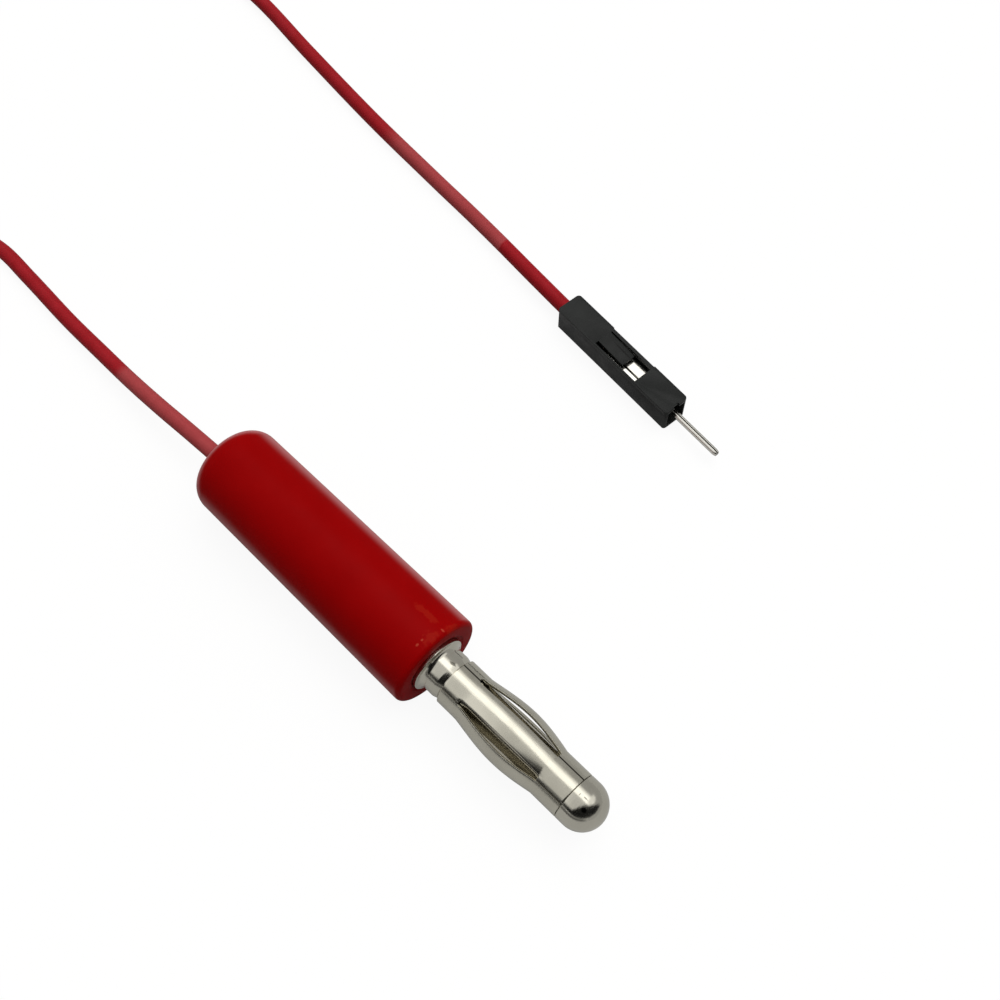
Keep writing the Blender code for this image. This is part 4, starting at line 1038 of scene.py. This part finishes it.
def nickel():
    made = Finish("turned_nickel", 0.16, metallic=1.0)
    tree = made.tree
    colour = made.mottled(450.0, (0.58, 0.56, 0.485), (0.64, 0.62, 0.54))
    # Painted light and shade: the waist, seen through the slots, has a colour of its own for how it is
    # lit and shaded there.
    waist = between(tree, made.axis(0), CAGE_START_X + 2.0 * MM, CAGE_START_X + 2.2 * MM,
                    CAGE_END_X - 2.5 * MM, CAGE_END_X - 2.3 * MM)
    colour = mix_colour(tree, waist, colour, (0.64, 0.6, 0.5))
    # Painted shade: a dark mark on the flange at the foot of its fillet. Also a dark spot on the tip;
    # the grey spots after them are pits and smudges.
    colour = made.marks_and_painted_light(colour, (0.05, 0.047, 0.04), 0.4, ((4.25, -1.0, 6.05), (0.1, 0.5, 0.4)),
                        ((19.66, -0.65, 5.75), (0.25, 0.2, 0.2)))
    colour = made.marks_and_painted_light(colour, (0.25, 0.24, 0.2), 0.6, ((19.15, 0.02, 5.99), (0.2, 0.06, 0.15)),
                        ((18.67, -0.03, 5.98), (0.05, 0.2, 0.15)), ((5.3, 0.4, 5.88), (0.3, 0.12, 0.2)))
    made.feed("Base Color", colour)
    made.rough(700.0, 0.12, 0.2)
    made.bump(made.use(HAIRLINES, Stretch=(12.0, 1.0, 1.0), Scale=900.0, Start=0.35, End=0.75),
              0.0015 * MM)
    return made.material


def spring_nickel():
    """Plated sheet, with painted shade: a dark line in the crease beside each slot."""
    made = Finish("spring_nickel", 0.18, metallic=1.0)
    tree = made.tree
    colour = made.mottled(450.0, (0.57, 0.55, 0.47), (0.64, 0.62, 0.535))
    # Painted shade: a dark line along the crease beside each slot.
    height = calc(tree, "SUBTRACT", made.axis(2), AXIS_HEIGHT)
    angle = calc(tree, "ARCTAN2", made.axis(1), product(tree, height, -1.0))
    crease_angle = CAGE_SEAM_ANGLE + CAGE_SEAM_SHARE * CAGE_SLOT_WIDTH / 2 / CAGE_RADIUS
    beside = calc(tree, "PINGPONG", calc(tree, "SUBTRACT", angle, crease_angle), math.pi / CAGE_LEAVES)
    line = CAGE_SEAM_GAP / CAGE_RADIUS
    painted_fold_shade = ramp(tree, beside, 0.55 * line, 1.25 * line, 1.0, 0.0)
    made.feed("Base Color", mix_colour(tree, painted_fold_shade, colour, (0.05, 0.046, 0.036)))
    made.rough(700.0, 0.14, 0.24)
    made.bump(made.use(HAIRLINES, Stretch=(1.0, 9.0, 9.0), Scale=700.0, Start=0.3, End=0.75),
              0.0015 * MM)
    return made.material


def tinned():
    """Bright tin, with painted shade: a dark line in the seam on top of the pin."""
    made = Finish("tinned_brass", 0.24, metallic=1.0)
    tree = made.tree
    made.measure_from_housing()
    colour = made.mottled(900.0, (0.76, 0.74, 0.68), (0.84, 0.83, 0.78))
    # Painted shade in the gap of the seam, ahead of the housing, on the top half of the pin.
    seam = between(tree, made.axis(1), -0.07 * MM, -0.045 * MM, 0.045 * MM, 0.07 * MM)
    ahead = ramp(tree, made.axis(0), HOUSING_LENGTH - 0.2 * MM, HOUSING_LENGTH)
    above = ramp(tree, made.axis(2), CONTACT_AXIS_HEIGHT, CONTACT_AXIS_HEIGHT + 0.05 * MM)
    seam = product(tree, seam, product(tree, ahead, above))
    made.feed("Base Color", mix_colour(tree, seam, colour, (0.05, 0.047, 0.035)))
    made.rough(1200.0, 0.14, 0.22)
    made.grain(5000.0, 1200.0, 0.5, 0.0003 * MM)
    return made.material


def housing_black():
    """Satin black, with painted shade as a dark line along its sides, under the step of the mould, and
    a dark line on the latch tongue.
    """
    made = Finish("housing_black", 0.42, specular=0.2)
    tree = made.tree
    made.measure_from_housing()
    colour = made.mottled(500.0, (0.0075, 0.0088, 0.0085), (0.012, 0.0135, 0.013))
    # Painted shade: the dark band along the sides stands for the shadow under a step of the mould that
    # is not shaped here.
    parting_step_shade = between(tree, made.axis(2), 1.74 * MM, 1.8 * MM, 1.9 * MM, 1.98 * MM)
    colour = mix_colour(tree, parting_step_shade, colour, (0.0015, 0.0015, 0.0015))
    colour = made.marks_and_painted_light(colour, (0.001, 0.001, 0.001), 0.05, ((6.9, 0.28, 2.4), (1.3, 0.09, 0.6)))
    made.feed("Base Color", colour)
    made.rough(900.0, 0.36, 0.5)
    made.grain(4200.0, 600.0, 0.4, 0.008 * MM)
    return made.material


def plain_finish(made, colours, rough, grain):
    """A finish that has only a mottled colour, a mottled roughness and a grain."""
    made.feed("Base Color", made.mottled(*colours))
    made.rough(*rough)
    made.grain(*grain)
    return made.material


def copper():
    return plain_finish(Finish("copper", 0.3, metallic=1.0),
                        (1500.0, (0.6, 0.26, 0.14), (0.78, 0.38, 0.22)),
                        (2500.0, 0.24, 0.4), (6000.0, 2000.0, 0.5, 0.002 * MM))


def solder_grey():
    return plain_finish(Finish("solder_grey", 0.35, metallic=1.0),
                        (1500.0, (0.48, 0.48, 0.49), (0.6, 0.6, 0.6)),
                        (2000.0, 0.26, 0.48), (4000.0, 1500.0, 0.7, 0.01 * MM))


def tie_black():
    return plain_finish(Finish("tie_black", 0.6, specular=0.4),
                        (900.0, (0.014, 0.014, 0.015), (0.028, 0.028, 0.03)),
                        (1100.0, 0.5, 0.7), (3500.0, 700.0, 0.5, 0.02 * MM))


# Studio
SKY_LEVEL = 0.4
CEILING_LEVEL = 0.64
WINDOW_LEVEL = 3.4
WINDOW_FALL_LEVEL = 1.15
SHADE_LEVEL = 0.02
WINDOW_IN_METAL = 1.75
CURTAIN_IN_METAL = 1.0
WALL_IN_METAL = 0.38
SHADE_IN_METAL = 0.01
HORIZON_IN_METAL = 0.09
IMAGE_RIGHT = (0.706, 0.709, 0.0)
IMAGE_NEAR = (0.709, -0.706, 0.0)


def studio_world():
    """A soft window, a dim ceiling and a dark shade; glossy rays see their own room of bands."""
    world = bpy.data.worlds.new("studio")
    bpy.context.scene.world = world
    world.use_nodes = True
    tree = world.node_tree
    tree.nodes.clear()
    way = add(tree, "ShaderNodeTexCoord").outputs["Generated"]
    parts = add(tree, "ShaderNodeSeparateXYZ", {0: way}).outputs
    up = parts[2]
    height = calc(tree, "MAXIMUM", up, 0.02)
    right = vector_calc(tree, "DOT_PRODUCT", way, IMAGE_RIGHT, "Value")
    near = vector_calc(tree, "DOT_PRODUCT", way, IMAGE_NEAR, "Value")
    across = calc(tree, "DIVIDE", right, height)
    towards = calc(tree, "DIVIDE", near, height)
    along = calc(tree, "DIVIDE", parts[0], height)
    beyond = calc(tree, "DIVIDE", parts[1], height)

    back = product(tree, parts[1], -1.0)
    ceiling = product(tree, ramp(tree, back, -0.1, 0.25), ramp(tree, up, 0.25, 0.55))
    light = blend(tree, ceiling, SKY_LEVEL, CEILING_LEVEL)
    window = product(tree, between(tree, towards, -0.85, -0.65, 0.22, 0.38),
                  between(tree, across, -0.24, -0.16, 1.6, 2.6))
    light = blend(tree, window, light, ramp(tree, across, 0.45, 1.2, WINDOW_LEVEL, WINDOW_FALL_LEVEL))

    plateau = slope(tree, along, -0.75, -0.2, 1.05, 0.66)
    fall = slope(tree, parts[1], 0.4, 0.66, WINDOW_IN_METAL, WALL_IN_METAL)
    pane = blend(tree, ramp(tree, along, 0.7, 1.2), fall, WALL_IN_METAL)
    metal = blend(tree, ramp(tree, parts[1], -0.02, 0.07), plateau, pane)
    curtain = product(tree, between(tree, beyond, 0.05, 0.3, 1.1, 1.5),
                   between(tree, along, 0.22, 0.4, 0.7, 1.0))
    metal = blend(tree, curtain, metal, CURTAIN_IN_METAL)
    horizon = ramp(tree, parts[1], -0.75, -0.45, HORIZON_IN_METAL, SKY_LEVEL)
    metal = blend(tree, ramp(tree, up, 0.12, 0.28), horizon, metal)

    shade = product(tree, ramp(tree, towards, 0.38, 0.64), ramp(tree, up, 0.22, 0.3))
    light = blend(tree, shade, light, SHADE_LEVEL)
    steep = calc(tree, "SUBTRACT", product(tree, along, 3.0), beyond)
    slant = calc(tree, "SUBTRACT", along, beyond)
    low = ramp(tree, product(tree, beyond, -1.0), 1.2, 2.2)
    dark = product(tree, ramp(tree, steep, 0.85, 1.3), ramp(tree, slant, 0.3, 0.7))
    dark = product(tree, calc(tree, "MAXIMUM", dark, low), ramp(tree, up, 0.2, 0.27))
    metal = blend(tree, dark, metal, SHADE_IN_METAL)

    ray = add(tree, "ShaderNodeLightPath").outputs
    level = blend(tree, ray["Is Glossy Ray"], light, metal)
    lit = add(tree, "ShaderNodeBackground", {"Color": (1.0, 0.99, 0.97, 1.0), "Strength": level})
    white = add(tree, "ShaderNodeBackground", {"Color": (1.0, 1.0, 1.0, 1.0), "Strength": 1.0})
    seen = calc(tree, "MAXIMUM", ray["Is Camera Ray"], ray["Is Transmission Ray"])
    both = add(tree, "ShaderNodeMixShader", {0: seen, 1: lit.outputs[0], 2: white.outputs[0]})
    out = add(tree, "ShaderNodeOutputWorld")
    tree.links.new(both.outputs[0], out.inputs["Surface"])


FLOOR_HALF_SIZE = 0.6
FLOOR_SHADOW_SHARE = 0.08
FLOOR_IN_METAL = 0.2


def studio_floor():
    """A plain floor: white to the camera apart from a faint shadow, pale grey to the light."""
    bm = bmesh.new()
    bmesh.ops.create_grid(bm, x_segments=1, y_segments=1, size=FLOOR_HALF_SIZE)
    bmesh.ops.translate(bm, vec=(0.0, 0.0, -0.02 * MM), verts=bm.verts)
    mesh = mesh_of("studio_floor", bm)
    paint = bpy.data.materials.new("floor_paint")
    paint.use_nodes = True
    tree = paint.node_tree
    shader = tree.nodes["Principled BSDF"]
    shader.inputs["Base Color"].default_value = (0.34, 0.34, 0.335, 1.0)
    shader.inputs["Roughness"].default_value = 1.0
    shader.inputs["Specular IOR Level"].default_value = 0.0
    shadow = add(tree, "ShaderNodeBsdfDiffuse", {"Color": (1.0, 1.0, 1.0, 1.0)})
    white = add(tree, "ShaderNodeEmission", {"Color": (1.0, 1.0, 1.0, 1.0), "Strength": 1.0})
    backdrop = add(tree, "ShaderNodeMixShader", {0: FLOOR_SHADOW_SHARE, 1: white.outputs[0],
                                                 2: shadow.outputs[0]})
    ray = add(tree, "ShaderNodeLightPath").outputs
    seen = calc(tree, "MAXIMUM", ray["Is Camera Ray"], ray["Is Transmission Ray"])
    seen = calc(tree, "MAXIMUM", seen, product(tree, ray["Is Glossy Ray"], FLOOR_IN_METAL))
    both = add(tree, "ShaderNodeMixShader", {0: seen, 1: shader.outputs[0], 2: backdrop.outputs[0]})
    tree.links.new(both.outputs[0], tree.nodes["Material Output"].inputs["Surface"])
    mesh.materials.append(paint)
    made = linked("studio_floor", mesh)


# The lead
photograph_camera()
lead_wire = wire(wire_red())
copper_finish = copper()
strands("strands_plug", SOLDER_CUP_DEPTH + BARE_AT_PLUG - 3 * CLEARANCE,
        Matrix.Translation((WIRE_START_X + CLEARANCE, 0.0, AXIS_HEIGHT)), copper_finish)
pin_strands = strands("strands_pin", CONDUCTOR_CRIMP_END - INSULATION_CRIMP_END - CLEARANCE,
                      HOUSING_PLACE @ Matrix.Translation((INSULATION_CRIMP_END + CLEARANCE, 0.0,
                                                          CONTACT_AXIS_HEIGHT)), copper_finish)
tie = coil_tie(tie_black())
housing = pin_housing(housing_black())
contact = pin_contact(tinned())
sleeve(sleeve_red())
plug_core(nickel())
spring_cage(spring_nickel())
solder(solder_grey())

studio_world()
studio_floor()
bpy.context.scene.view_settings.view_transform = "Standard"
